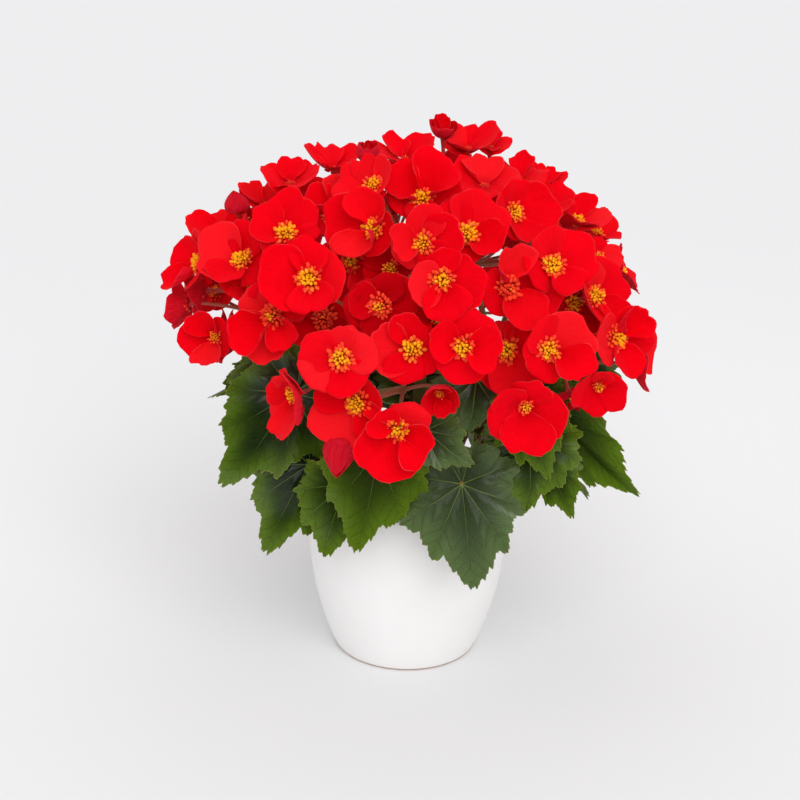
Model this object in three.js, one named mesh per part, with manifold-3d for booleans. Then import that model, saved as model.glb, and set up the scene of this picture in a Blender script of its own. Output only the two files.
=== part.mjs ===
// Potted begonia: a Rieger begonia in full flower, in the black plastic pot it was grown in,
// which stands inside a plain white glazed cachepot. Millimetres, +Z up. The origin is the
// centre of the cachepot's flat base and the plant's show side faces -Y.
//
// The plant is laid out the way it grows: five fleshy stems rise from the soil, leaves hang
// outwards on their stalks, and branched flower stalks carry the blooms to a broad dome.

import * as THREE from 'three';
import { mergeVertices } from 'three/addons/utils/BufferGeometryUtils.js';
import Module from 'manifold-3d';

const wasm = await Module();
wasm.setup();

// ---------------------------------------------------------------- driving dimensions

const GAP = 0.3; // left between pieces that rest on, or were cut by, each other

// Cachepot: outer radius by height, a wall of even thickness and a solid floor
const CACHEPOT_HEIGHT = 128;
const CACHEPOT_WALL = 4.5;
const CACHEPOT_FLOOR = 6;
const CACHEPOT_OUTLINE = [
  [50.2, 0],
  [51.8, 3],
  [55.8, 12.6],
  [62.2, 32.8],
  [66.6, 51.4],
  [70.4, 80.5],
  [71.4, 104],
  [71.6, 125.8],
];
const CACHEPOT_LIP = 0.7; // width of the slope on each side of the rim
const CACHEPOT_SIDES = 40;

// Growing pot: a tapered thin pot with a rolled rim and drain holes in its floor
const GROWER_BASE_Z = CACHEPOT_FLOOR + GAP;
const GROWER_HEIGHT = 108;
const GROWER_BASE_RADIUS = 42;
const GROWER_TOP_RADIUS = 58;
const GROWER_WALL = 1.6;
const GROWER_RIM_RADIUS = 61;
const GROWER_RIM_HEIGHT = 9;
const GROWER_RIM_FLARE = 0.6;
const GROWER_SIDES = 30;
const DRAIN_COUNT = 5;
const DRAIN_RADIUS = 4;
const DRAIN_CIRCLE = 27;
const DRAIN_SIDES = 10;
const DRAIN_DEPTH = 6; // of the cutter, centred on the pot's underside

// Potting soil, filled to below the growing pot's rim
const SOIL_TOP_Z = 103;
const SOIL_MOUND = 3; // higher at the stems than at the wall
const SOIL_EDGE = 1; // lower where it meets the wall
const SOIL_SHOULDER = 0.6; // share of the radius where the mound is half as high
const SOIL_SIDES = 24;

// Stems
const STEM_RADIUS = 4.6;
const STEM_DEPTH = 16; // set into the soil
const STEM_SIDES = 6;
const STEM_STEPS = 5;
const STEM_NECK = 12; // each stem stands nearly upright up to this height over the soil
const STEM_NECK_SPREAD = 1.1;
const STEM_BOW_SHARE = 0.62; // share of its length where the stem bows out
// foot (x, y), tip (x, y, z), sideways bow (x, y)
const STEMS = [
  [1, 2, 6, 4, 262, 1.5, -1.5],
  [-13, -11, -58, -44, 212, -5, -3],
  [13, -12, 60, -46, 214, 4, -4],
  [-13, 13, -56, 50, 212, -4, 4],
  [14, 13, 60, 48, 212, 5, 3],
];

// Flower stalks
const PEDUNCLE_RADIUS = 2.1;
const PEDUNCLE_SIDES = 5;
const PEDICEL_RADIUS = 1.25;
const PEDICEL_SIDES = 4;
const STALK_STEPS = 2;
const JOINT_RADIUS = 3.6; // swollen joint where a flower stalk branches
const PEDUNCLE_RISE = 10; // how far a flower stalk arches over the straight line to its joint
const PEDICEL_START = 0.5; // a branch starts this share of the joint's radius out from its middle
const PEDICEL_BOW = 0.4; // share of its length that a branch runs straight back from its bloom
const PEDICEL_END = 0.5; // it ends this far behind the heart

// Leaves
const BLADE_THICKNESS = 1.5;
const PETIOLE_RADIUS = 1.9;
const PETIOLE_SIDES = 4;
const PETIOLE_STEPS = 3;
const PETIOLE_LOWEST = 0.4; // share of the stem's length where its lowest leaf leaves it
const PETIOLE_HIGHEST = 0.66;
const PETIOLE_BOW_SHARE = 0.62; // where a leaf stalk arches highest
const PETIOLE_RISE = 8;
const PETIOLE_OVERLAP = 3; // runs this far on under the blade
const BLADE_SIDES = 16;
const BLADE_MIDDLE = 0.55; // share of the outline where the blade starts to thin
const LENGTH_DROOP = 1.2; // bend along the blade over bend across it
const MIDDLE_RISE = 0.3; // share of the droop by which the blade's middle is raised

// Dome that the flower hearts sit on
const DOME_CENTRE = new THREE.Vector3(6, -4, 222);
const DOME_RADII = new THREE.Vector3(148, 138, 142);

// Line of sight of the show side: the blooms and front leaves are given by where they stand
// on the plane square to it through the plant's middle, in mm across and mm up.
const SIGHT_DISTANCE = 1600;
const SIGHT_ELEVATION = 23; // degrees
const SIGHT_ROLL = 1.6; // degrees
const SIGHT_CENTRE = new THREE.Vector3(-8.1, 0, 187.4);
const SIGHT_OFFSET = 3.5; // the pot's axis lies this far right of the middle of the view

// Blooms of the show side, the foremost first: across, up, rim radius, turn (degrees to the
// right), tilt (degrees upwards), cup (rim height over radius), roll (degrees), set back
const BLOOMS = [
  [-67, 84, 26.5, -5, 28, 0.34, 10, 0],
  [-45, 29, 24.5, -2, 23, 0.32, 30, 0],
  [41, 37, 23, -5, 20, 0.32, 80, 0],
  [26, 84, 23, 0, 24, 0.34, 5, 0],
  [-5, -20, 24.5, 0, 6, 0.36, 60, 0],
  [84, -4, 24.5, 3, -6, 0.36, 0, 0],
  [100, 35, 23.5, 20, 22, 0.4, 40, 0],
  [103, 94, 24, 20, 34, 0.4, 20, 0],
  [5, 35, 22.5, -3, 24, 0.34, 0, 2],
  [12, 109, 23, 0, 26, 0.34, 30, 4],
  [-113, 96, 24, -32, 46, 0.46, 0, 0],
  [-83, 115, 23.5, -8, 50, 0.36, 80, 0],
  [-132, 44, 18.5, -28, 12, 0.7, 20, 0],
  [146, 44, 25, 38, 12, 0.46, 0, 0],
  [131, 72, 24, 48, 24, 0.55, 30, 2],
  [-32, -2, 24, -20, 8, 0.38, 50, 6],
  [135, 11, 18, 12, -14, 0.6, 0, 6],
  [-92, 59, 26, -16, 12, 0.34, 60, 6],
  [71, 78, 26.5, 22, 28, 0.36, 0, 6],
  [70, 35, 26.5, 5, 18, 0.36, 20, 6],
  [43, 115, 26, 8, 38, 0.34, 50, 8],
  [12, 139, 25, -8, 46, 0.34, 0, 6],
  [-21, 119, 23, -34, 26, 0.42, 0, 8],
  [-22, 149, 20.5, -40, 44, 0.58, 30, 6],
  [75, 131, 23, 42, 26, 0.62, 0, 4],
  [-76, 4, 19, -50, 0, 0.9, 20, 4],
  [-143, 95, 22, -72, 24, 0.56, 0, 0],
  [134, 98, 16, 30, 46, 0.6, 0, 4],
  [-39, 97, 23, 24, 18, 0.4, 20, 12],
  [-17, 66, 24, -4, 22, 0.3, 10, 18],
  [24, 5, 15.5, 5, -5, 0.95, 0, 8],
  [-45, -27, 12.5, -8, -48, 1.8, 0, 10],
  [-57, 57, 23, -5, 32, 0.34, 30, 16],
  [-50, 127, 23, -5, 62, 0.46, 0, 10],
  [-139, 76, 17, -96, -12, 0.7, 0, 12],
  [158, 26, 20, 78, 6, 0.6, 20, 8],
  [-150, 68, 17, -104, -8, 0.7, 0, 14],
  [114, 6, 17, 10, -48, 0.6, 0, 18],
  [-128, 114, 20, -45, 74, 0.7, 0, 10],
  [-80, 151, 19.5, -22, 84, 0.8, 0, 0],
  [-50, 161, 19, -10, 88, 0.8, 30, 8],
  [-26, 168, 12, 0, 82, 1.05, 0, 0],
  [-117, 132, 10, -30, 75, 1.4, 0, 4],
  [0, 168, 21, -5, 84, 0.7, 30, 6],
  [27, 184, 13.5, 10, 80, 0.95, 0, 18],
  [44, 175, 20, 10, 84, 0.75, 0, 4],
  [56, 149, 22, 8, 76, 0.6, 0, 10],
  [80, 153, 18.5, 22, 80, 0.75, 0, 6],
  [98, 134, 19, 30, 74, 0.7, 40, 10],
  [99, 150, 14, 44, 82, 0.8, 0, 12],
  [120, 124, 19, 52, 68, 0.7, 0, 12],
  [133, 115, 17, 62, 60, 0.7, 0, 14],
  [-72, 138, 20, -14, 84, 0.7, 40, 14],
  [-98, 136, 17, -50, 80, 0.8, 0, 14],
  [60, 176, 15, 60, 84, 0.8, 0, 14],
  [118, 68, 20.5, 16, 20, 0.4, 0, 20],
  [-104, 76, 19, -25, 60, 0.8, 0, 22],
  [22, 57, 18, 5, 30, 0.42, 20, 36],
  [-10, 91, 17, -5, 36, 0.42, 60, 26],
  [-132, 74, 17, -30, 40, 0.5, 0, 34],
  [127, 48, 16, 20, 20, 0.45, 0, 34],
  [-112, 124, 15, -30, 60, 0.6, 0, 24],
];

// Blooms of the far side, in rows round the dome: elevation, how many, first and last turn
const FAR_ROWS = [
  [72, 4, 120, 240],
  [50, 8, 106, 256],
  [26, 11, 96, 265],
  [3, 12, 102, 260],
];
const FAR_RADIUS = 22; // mean rim radius, varied from bloom to bloom
const FAR_RADIUS_SWING = 2.5;
const FAR_CUP = 0.5;
const FAR_CUP_SWING = 0.14;
const FAR_STRAY = 4; // degrees a bloom strays from its row and place
const FAR_FACE_STRAY = 10; // degrees its face turns aside
const FAR_TILT = 14; // upward tilt of the lowest row, in degrees
const FAR_TILT_GAIN = 0.62; // further tilt per degree of elevation
const FAR_ROLL = 47; // degrees each bloom is rolled further than the one before
// Radians by which each stray runs on from bloom to bloom
const FAR_PACE = { turn: 3.7, rise: 2.3, radius: 5.1, face: 1.9, cup: 2.9 };

// Blooms keep this clear of each other and step back until they do
const BLOOM_CLEARANCE = 3;
const BLOOM_STEP = 1.5;
const BLOOM_STEPS = 40;
const CUP_POWER = 1.8; // how a tepal's height grows with the distance from the heart
// Rings of points that stand for a cup: how many, share of the radius, shift in steps
const CUP_RINGS = [
  [16, 1, 0],
  [16, 0.75, 0.5],
  [10, 0.45, 0.5],
];

// The four overlapping tepals of a bloom, as one shallow lobed cup that is thick at its heart
const TEPALS = 4;
const CUP_SIDES = 12;
const LOBE_NOTCH = 0.12; // depth of the notches between tepals over the radius
const CUP_BACK = 2.2; // how far the heart reaches behind the cup
const CUP_HEART = 3.6; // how far it reaches forward

// Leaves of the show side: base of the blade (across, up, y), tip (across, up, y), width,
// roll (degrees), droop
const LEAVES = [
  [[40, -60, -100], [47, -134, -114], 78, 0, 8],
  [[-18, -36, -100], [-34, -104, -104], 72, 0, 8],
  [[-42, -60, -84], [-57, -110, -92], 60, 0, 6],
  [[-68, -46, -70], [-98, -105, -80], 66, 0, 6],
  [[-78, 4, -64], [-128, -60, -74], 76, 0, 8],
  [[-78, 36, -36], [-124, 13, -40], 52, 20, 5],
  [[-92, 28, 4], [-137, -1, 10], 44, -70, 4],
  [[14, -22, -114], [47, -45, -126], 40, 10, 5],
  [[50, 14, -86], [44, -22, -94], 56, 0, 5],
  [[88, -28, -84], [84, -78, -96], 66, 0, 6],
  [[82, -8, -100], [101, -56, -108], 44, 0, 5],
  [[100, -42, -64], [118, -83, -70], 38, 0, 4],
  [[102, -8, -48], [163, -71, -40], 48, 25, 6],
  [[78, 16, -76], [117, -24, -80], 46, 0, 5],
  [[98, 18, -34], [120, -10, -40], 36, 0, 4],
  [[122, 26, 10], [156, 8, 14], 34, 0, 4],
  [[-118, 50, 30], [-156, 38, 34], 28, -80, 3],
];

// Leaves of the far side: turn, base radius, base height, tip radius, tip height,
// width, droop
const FAR_LEAVES = [
  [86, 78, 166, 130, 114, 68, 8],
  [108, 80, 184, 134, 132, 68, 8],
  [148, 80, 160, 124, 98, 76, 9],
  [176, 80, 180, 134, 122, 70, 8],
  [204, 82, 162, 128, 102, 74, 9],
  [250, 78, 184, 132, 134, 68, 8],
  [270, 78, 180, 124, 134, 62, 8],
];
// Young leaves in the middle of the crown, in the same terms
const CROWN_LEAVES = [
  [6, 22, 182, 72, 196, 46, 5],
  [96, 22, 186, 74, 198, 46, 5],
  [180, 22, 182, 74, 202, 46, 5],
  [264, 22, 186, 74, 198, 46, 5],
];
// Leaves of the second tier, further in between the flower stalks, in the same terms
const INNER_LEAVES = [
  [66, 58, 190, 104, 148, 58, 6],
  [122, 56, 192, 102, 150, 60, 6],
  [162, 56, 192, 102, 148, 60, 6],
  [214, 56, 192, 102, 150, 60, 6],
  [288, 58, 190, 104, 148, 58, 6],
];
const FAR_LEAF_SKEW = 7; // the tip points this many degrees past the base's turn
const FAR_LEAF_TILT = 40; // their faces look this many degrees upwards

// Outline of a leaf about the point where its stalk joins: angle from the tip, share of length
const LEAF_OUTLINE = [
  [0, 1],
  [22, 0.78],
  [45, 0.66],
  [62, 0.64],
  [82, 0.52],
  [104, 0.54],
  [128, 0.46],
  [150, 0.42],
  [180, 0.1],
];
const LEAF_ROUND = 1.16; // greatest width of the plain outline over its length

// Hubs of the flower stalks: turn and elevation on the dome, share of the dome's radii,
// stem that carries it, and how far up that stem it leaves
const HUBS = [
  [-8, 6, 0.6, 1, 0.86],
  [34, 4, 0.6, 2, 0.8],
  [74, 6, 0.6, 2, 0.92],
  [122, 6, 0.58, 4, 0.84],
  [168, 6, 0.58, 4, 0.74],
  [-148, 6, 0.58, 3, 0.8],
  [-106, 6, 0.58, 3, 0.9],
  [-56, 4, 0.6, 1, 0.76],
  [-30, 34, 0.6, 1, 0.97],
  [22, 34, 0.6, 2, 0.98],
  [70, 40, 0.58, 4, 0.97],
  [150, 40, 0.56, 4, 0.92],
  [-150, 40, 0.56, 3, 0.97],
  [-88, 38, 0.58, 3, 0.94],
  [-20, 68, 0.58, 0, 0.86],
  [50, 66, 0.58, 0, 0.95],
];

const WELD = 1e-4; // corners closer than this are one

// ---------------------------------------------------------------- colours and finishes

function finish(colour, roughness, metalness = 0) {
  return () => new THREE.MeshStandardMaterial({ color: colour, roughness, metalness });
}

const whiteGlaze = finish(0xf3f0ec, 0.45);
const blackPlastic = finish(0x1d1d1e, 0.55);
const darkPeat = finish(0x33251a, 0.95);
const fleshyStem = finish(0x6d6a3a, 0.6);
const greenLeaf = finish(0x3a5720, 0.5);
const scarletPetal = finish(0xe0101e, 0.7);

// ---------------------------------------------------------------- solids

function signedVolume(positions, index) {
  const a = new THREE.Vector3();
  const b = new THREE.Vector3();
  const c = new THREE.Vector3();
  let volume = 0;
  for (let i = 0; i < index.length; i += 3) {
    a.fromArray(positions, index[i] * 3);
    b.fromArray(positions, index[i + 1] * 3);
    c.fromArray(positions, index[i + 2] * 3);
    volume += a.dot(b.cross(c)) / 6;
  }
  return volume;
}

// A closed geometry as a solid, turned the right way out
function solid(geometry) {
  const bare = geometry.clone();
  bare.deleteAttribute('normal');
  bare.deleteAttribute('uv');
  const merged = mergeVertices(bare, WELD);
  const vertProperties = Float32Array.from(merged.attributes.position.array);
  const triVerts = Uint32Array.from(merged.index.array);
  if (signedVolume(vertProperties, triVerts) < 0) {
    for (let i = 0; i < triVerts.length; i += 3) {
      [triVerts[i], triVerts[i + 1]] = [triVerts[i + 1], triVerts[i]];
    }
  }
  return new wasm.Manifold(new wasm.Mesh({ numProp: 3, vertProperties, triVerts }));
}

function join(solids) {
  return solids.reduce((whole, piece) => whole.add(piece));
}

function largestBody(whole) {
  const bodies = whole.decompose();
  return bodies.reduce((best, body) => (body.volume() > best.volume() ? body : best));
}

function geometryOf(whole) {
  const mesh = whole.getMesh();
  const geometry = new THREE.BufferGeometry();
  geometry.setAttribute('position', new THREE.BufferAttribute(mesh.vertProperties, 3));
  geometry.setIndex(new THREE.BufferAttribute(mesh.triVerts, 1));
  geometry.computeVertexNormals();
  return geometry;
}

// A lathe about the Z axis
function turned(profile, sides) {
  const points = profile.map(([radius, height]) => new THREE.Vector2(radius, height));
  const geometry = new THREE.LatheGeometry(points, sides);
  geometry.rotateX(Math.PI / 2);
  return geometry;
}

function tube(curve, radius, sides, steps) {
  const section = new THREE.Shape();
  for (let i = 0; i < sides; i += 1) {
    const angle = (2 * Math.PI * i) / sides;
    const x = radius * Math.cos(angle);
    const y = radius * Math.sin(angle);
    if (i === 0) {
      section.moveTo(x, y);
    } else {
      section.lineTo(x, y);
    }
  }
  section.closePath();
  return new THREE.ExtrudeGeometry(section, { steps, bevelEnabled: false, extrudePath: curve });
}

// ---------------------------------------------------------------- directions and places

function facing(turn, tilt) {
  const a = THREE.MathUtils.degToRad(turn);
  const e = THREE.MathUtils.degToRad(tilt);
  return new THREE.Vector3(Math.sin(a) * Math.cos(e), -Math.cos(a) * Math.cos(e), Math.sin(e));
}

const sightBack = facing(0, SIGHT_ELEVATION);
const sightRoll = THREE.MathUtils.degToRad(SIGHT_ROLL);
const sightRight = new THREE.Vector3(1, 0, 0).applyAxisAngle(sightBack, sightRoll);
const sightUp = facing(180, 90 - SIGHT_ELEVATION).applyAxisAngle(sightBack, sightRoll);
const eye = SIGHT_CENTRE.clone().addScaledVector(sightBack, SIGHT_DISTANCE);

function sightLine(across, up) {
  return SIGHT_CENTRE.clone()
    .addScaledVector(sightRight, across + SIGHT_OFFSET)
    .addScaledVector(sightUp, up)
    .sub(eye)
    .normalize();
}

// Where a line of sight first meets the dome, or passes closest to it
function onDome(direction) {
  const from = eye.clone().sub(DOME_CENTRE).divide(DOME_RADII);
  const along = direction.clone().divide(DOME_RADII);
  const a = along.dot(along);
  const b = from.dot(along);
  const c = from.dot(from) - 1;
  const inside = b * b - a * c;
  const distance = (-b - Math.sqrt(Math.max(inside, 0))) / a;
  return eye.clone().addScaledVector(direction, distance);
}

function atDepth(across, up, y) {
  const direction = sightLine(across, up);
  return eye.clone().addScaledVector(direction, (y - eye.y) / direction.y);
}

// Two directions square to an axis
function acrossAxis(axis) {
  const steep = Math.abs(axis.z) >= 0.9;
  const reference = steep ? new THREE.Vector3(0, 1, 0) : new THREE.Vector3(0, 0, 1);
  const u = reference.cross(axis).normalize();
  const v = axis.clone().cross(u);
  return [u, v];
}

// ---------------------------------------------------------------- blooms

// Points spread over a bloom's cup, used to keep blooms clear of each other
function cupPoints(bloom) {
  const { heart, face, radius, height } = bloom;
  const [u, v] = acrossAxis(face);
  const points = [heart.clone()];
  for (const [count, share, shift] of CUP_RINGS) {
    for (let i = 0; i < count; i += 1) {
      const angle = (2 * Math.PI * (i + shift)) / count;
      points.push(
        heart
          .clone()
          .addScaledVector(u, radius * share * Math.cos(angle))
          .addScaledVector(v, radius * share * Math.sin(angle))
          .addScaledVector(face, height * share ** CUP_POWER),
      );
    }
  }
  return points;
}

// True where every point that lies over the cup is clear of it on one and the same side
function clearOfCup(points, bloom) {
  let above = 0;
  let below = 0;
  for (const point of points) {
    const offset = point.clone().sub(bloom.heart);
    const rise = offset.dot(bloom.face);
    const reach = Math.sqrt(Math.max(offset.lengthSq() - rise * rise, 0));
    if (reach < bloom.radius + BLOOM_CLEARANCE / 2) {
      const share = Math.min(reach / bloom.radius, 1);
      const over = rise - bloom.height * share ** CUP_POWER;
      if (Math.abs(over) <= BLOOM_CLEARANCE) {
        return false;
      }
      if (over > 0) {
        above += 1;
      } else {
        below += 1;
      }
    }
  }
  return above === 0 || below === 0;
}

function clearOfAll(bloom, others) {
  const points = cupPoints(bloom);
  return others.every((other) => {
    const reach = bloom.radius + bloom.height + other.radius + other.height;
    if (bloom.heart.distanceTo(other.heart) > reach) {
      return true;
    }
    return clearOfCup(points, other) && clearOfCup(cupPoints(other), bloom);
  });
}

// Sets a bloom on the first clear place along a line that leads into the dome
function settle(bloom, start, direction, placed) {
  for (let step = 0; step < BLOOM_STEPS; step += 1) {
    bloom.heart = start.clone().addScaledVector(direction, step * BLOOM_STEP);
    if (clearOfAll(bloom, placed)) {
      placed.push(bloom);
      return;
    }
  }
}

function placeBlooms() {
  const placed = [];
  for (const [across, up, radius, turn, tilt, cup, roll, back] of BLOOMS) {
    const direction = sightLine(across, up);
    const start = onDome(direction).addScaledVector(direction, back);
    const bloom = { face: facing(turn, tilt), radius, height: radius * cup, roll };
    settle(bloom, start, direction, placed);
  }
  let number = 0;
  for (const [elevation, count, first, last] of FAR_ROWS) {
    for (let i = 0; i < count; i += 1) {
      const stray = FAR_STRAY * Math.sin(FAR_PACE.turn * number);
      const turn = first + ((last - first) * i) / (count - 1) + stray;
      const rise = FAR_STRAY * Math.sin(FAR_PACE.rise * number + 1);
      const outward = facing(turn, elevation + rise);
      const start = DOME_CENTRE.clone().add(outward.clone().multiply(DOME_RADII));
      const radius = FAR_RADIUS + FAR_RADIUS_SWING * Math.sin(FAR_PACE.radius * number);
      const aside = FAR_FACE_STRAY * Math.sin(FAR_PACE.face * number);
      const face = facing(turn + aside, FAR_TILT + FAR_TILT_GAIN * elevation);
      const cup = FAR_CUP + FAR_CUP_SWING * Math.sin(FAR_PACE.cup * number);
      const bloom = { face, radius, height: radius * cup, roll: FAR_ROLL * number };
      settle(bloom, start, outward.negate(), placed);
      number += 1;
    }
  }
  return placed;
}

function cupSolid(bloom, grow) {
  const radius = bloom.radius + grow;
  const sharpRim = [[radius, bloom.height]];
  const grownRim = [
    [radius, bloom.height - grow],
    [radius, bloom.height + grow],
  ];
  const rim = grow > 0 ? grownRim : sharpRim;
  const profile = [[0, -CUP_BACK - grow], ...rim, [0, CUP_HEART + grow]];
  const geometry = turned(profile, CUP_SIDES);
  const position = geometry.attributes.position;
  const point = new THREE.Vector3();
  for (let i = 0; i < position.count; i += 1) {
    point.fromBufferAttribute(position, i);
    const angle = Math.atan2(point.y, point.x);
    const share = Math.hypot(point.x, point.y) / radius;
    const lobe = 1 - LOBE_NOTCH * share * (0.5 - 0.5 * Math.cos(TEPALS * angle));
    position.setXYZ(i, point.x * lobe, point.y * lobe, point.z);
  }
  geometry.rotateZ(THREE.MathUtils.degToRad(bloom.roll));
  const [u, v] = acrossAxis(bloom.face);
  const place = new THREE.Matrix4().makeBasis(u, v, bloom.face).setPosition(bloom.heart);
  geometry.applyMatrix4(place);
  return solid(geometry);
}

// ---------------------------------------------------------------- stems and flower stalks

function stemCurve([footX, footY, tipX, tipY, tipZ, bowX, bowY]) {
  const foot = new THREE.Vector3(footX, footY, SOIL_TOP_Z - STEM_DEPTH);
  const tip = new THREE.Vector3(tipX, tipY, tipZ);
  const neckX = footX * STEM_NECK_SPREAD;
  const neckY = footY * STEM_NECK_SPREAD;
  const neck = new THREE.Vector3(neckX, neckY, SOIL_TOP_Z + STEM_NECK);
  const middle = foot.clone().lerp(tip, STEM_BOW_SHARE);
  middle.x += bowX;
  middle.y += bowY;
  return new THREE.CatmullRomCurve3([foot, neck, middle, tip]);
}

const stemCurves = STEMS.map(stemCurve);

function stemSolid(curve, grow) {
  return solid(tube(curve, STEM_RADIUS + grow, STEM_SIDES, STEM_STEPS));
}

function hubPlace([turn, elevation, share]) {
  const reach = facing(turn, elevation).multiply(DOME_RADII).multiplyScalar(share);
  return DOME_CENTRE.clone().add(reach);
}

function jointSolid(place, grow) {
  const geometry = new THREE.OctahedronGeometry(JOINT_RADIUS + grow);
  geometry.translate(place.x, place.y, place.z);
  return solid(geometry);
}

// The branched stalk of one cluster: from its stem to the hub, and on to the back of each bloom
function stalkSolid(hub, blooms, grow) {
  const place = hubPlace(hub);
  const root = stemCurves[hub[3]].getPoint(hub[4]);
  const bend = root.clone().lerp(place, 0.5);
  bend.z += PEDUNCLE_RISE;
  const peduncle = new THREE.QuadraticBezierCurve3(root, bend, place);
  const pieces = [
    solid(tube(peduncle, PEDUNCLE_RADIUS + grow, PEDUNCLE_SIDES, STALK_STEPS + 1)),
    jointSolid(place, grow),
  ];
  for (const bloom of blooms) {
    const back = bloom.heart.clone().addScaledVector(bloom.face, -PEDICEL_END);
    const reach = place.distanceTo(back) * PEDICEL_BOW;
    const bow = bloom.heart.clone().addScaledVector(bloom.face, -reach);
    const start = bow.clone().sub(place).setLength(JOINT_RADIUS * PEDICEL_START).add(place);
    const pedicel = new THREE.QuadraticBezierCurve3(start, bow, back);
    pieces.push(solid(tube(pedicel, PEDICEL_RADIUS + grow, PEDICEL_SIDES, STALK_STEPS)));
  }
  return join(pieces);
}

function nearestHub(bloom) {
  let best = 0;
  let least = Infinity;
  HUBS.forEach((hub, k) => {
    const distance = hubPlace(hub).distanceTo(bloom.heart);
    if (distance < least) {
      least = distance;
      best = k;
    }
  });
  return best;
}

// ---------------------------------------------------------------- leaves

function outlineReach(degrees) {
  const angle = Math.abs(degrees);
  for (let i = 1; i < LEAF_OUTLINE.length; i += 1) {
    const [toAngle, toShare] = LEAF_OUTLINE[i];
    if (angle <= toAngle) {
      const [fromAngle, fromShare] = LEAF_OUTLINE[i - 1];
      return fromShare + ((toShare - fromShare) * (angle - fromAngle)) / (toAngle - fromAngle);
    }
  }
  return LEAF_OUTLINE[LEAF_OUTLINE.length - 1][1];
}

// A leaf as its stalk joint, the directions of its length and face, and its sizes
function leafFrame(base, tip, towards, width, roll, droop) {
  const along = tip.clone().sub(base);
  const length = along.length();
  along.normalize();
  const face = towards.clone().addScaledVector(along, -towards.dot(along)).normalize();
  face.applyAxisAngle(along, THREE.MathUtils.degToRad(roll));
  const side = face.clone().cross(along);
  return { base, along, face, side, length, width, droop };
}

function placeLeaves() {
  const front = LEAVES.map(([base, tip, width, roll, droop]) =>
    leafFrame(atDepth(...base), atDepth(...tip), sightBack, width, roll, droop));
  const far = [...FAR_LEAVES, ...CROWN_LEAVES, ...INNER_LEAVES].map((row) => {
    const [turn, baseReach, baseZ, tipReach, tipZ, width, droop] = row;
    const base = facing(turn, 0).multiplyScalar(baseReach);
    const tip = facing(turn + FAR_LEAF_SKEW, 0).multiplyScalar(tipReach);
    base.z = baseZ;
    tip.z = tipZ;
    return leafFrame(base, tip, facing(turn, FAR_LEAF_TILT), width, 0, droop);
  });
  return front.concat(far);
}

// Each leaf leaves the nearest outer stem, the lowest leaf from the lowest place
function rootLeaves(leaves) {
  const outer = stemCurves.slice(1).map((curve) => ({ curve, leaves: [] }));
  for (const leaf of leaves) {
    const distance = ({ curve }) => curve.getPoint(0.5).distanceTo(leaf.base);
    const nearest = outer.reduce((best, stem) => (distance(stem) < distance(best) ? stem : best));
    nearest.leaves.push(leaf);
  }
  for (const { curve, leaves: carried } of outer) {
    carried.sort((a, b) => a.base.z - b.base.z);
    carried.forEach((leaf, k) => {
      const share = carried.length > 1 ? k / (carried.length - 1) : 0;
      leaf.root = curve.getPoint(THREE.MathUtils.lerp(PETIOLE_LOWEST, PETIOLE_HIGHEST, share));
    });
  }
}

function bladeSolid(leaf, grow) {
  const half = BLADE_THICKNESS / 2 + grow;
  const profile = [
    [0, -half],
    [BLADE_MIDDLE, -half],
    [1, 0],
    [BLADE_MIDDLE, half],
    [0, half],
  ];
  const geometry = turned(profile, BLADE_SIDES);
  const position = geometry.attributes.position;
  const point = new THREE.Vector3();
  const place = new THREE.Vector3();
  for (let i = 0; i < position.count; i += 1) {
    point.fromBufferAttribute(position, i);
    const angle = Math.atan2(point.x, point.y);
    const share = Math.hypot(point.x, point.y);
    const reach = share * (outlineReach(THREE.MathUtils.radToDeg(angle)) * leaf.length + grow);
    const across = (Math.sin(angle) * reach * leaf.width) / (leaf.length * LEAF_ROUND);
    const along = Math.cos(angle) * reach;
    const bendAcross = (across / (leaf.width / 2)) ** 2;
    const bendAlong = LENGTH_DROOP * (along / leaf.length - 0.5) ** 2;
    const bend = bendAcross + bendAlong - MIDDLE_RISE;
    place
      .copy(leaf.base)
      .addScaledVector(leaf.along, along)
      .addScaledVector(leaf.side, across)
      .addScaledVector(leaf.face, point.z - leaf.droop * bend);
    position.setXYZ(i, place.x, place.y, place.z);
  }
  return solid(geometry);
}

// The stalk of a leaf runs from its stem, out and over, to the blade
function petioleSolid(leaf, grow) {
  const end = leaf.base.clone().addScaledVector(leaf.along, PETIOLE_OVERLAP);
  const bow = leaf.root.clone().lerp(end, PETIOLE_BOW_SHARE);
  bow.z = Math.max(leaf.root.z, end.z) + PETIOLE_RISE;
  const curve = new THREE.QuadraticBezierCurve3(leaf.root, bow, end);
  return solid(tube(curve, PETIOLE_RADIUS + grow, PETIOLE_SIDES, PETIOLE_STEPS));
}

// ---------------------------------------------------------------- pots and soil

function cachepotSolid() {
  const inner = CACHEPOT_OUTLINE.filter(([, z], row) => z > CACHEPOT_FLOOR && row % 2 === 1)
    .map(([radius, z]) => [radius - CACHEPOT_WALL, z])
    .reverse();
  const rimRadius = CACHEPOT_OUTLINE[CACHEPOT_OUTLINE.length - 1][0];
  const lip = [
    [rimRadius - CACHEPOT_LIP, CACHEPOT_HEIGHT],
    [rimRadius - CACHEPOT_WALL + CACHEPOT_LIP, CACHEPOT_HEIGHT],
  ];
  const floorRadius = CACHEPOT_OUTLINE[1][0] - CACHEPOT_WALL;
  const profile = [[0, 0], ...CACHEPOT_OUTLINE, ...lip, ...inner];
  profile.push([floorRadius, CACHEPOT_FLOOR], [0, CACHEPOT_FLOOR]);
  return solid(turned(profile, CACHEPOT_SIDES));
}

function growerRadius(z) {
  const share = (z - GROWER_BASE_Z) / GROWER_HEIGHT;
  return GROWER_BASE_RADIUS + (GROWER_TOP_RADIUS - GROWER_BASE_RADIUS) * share;
}

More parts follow.
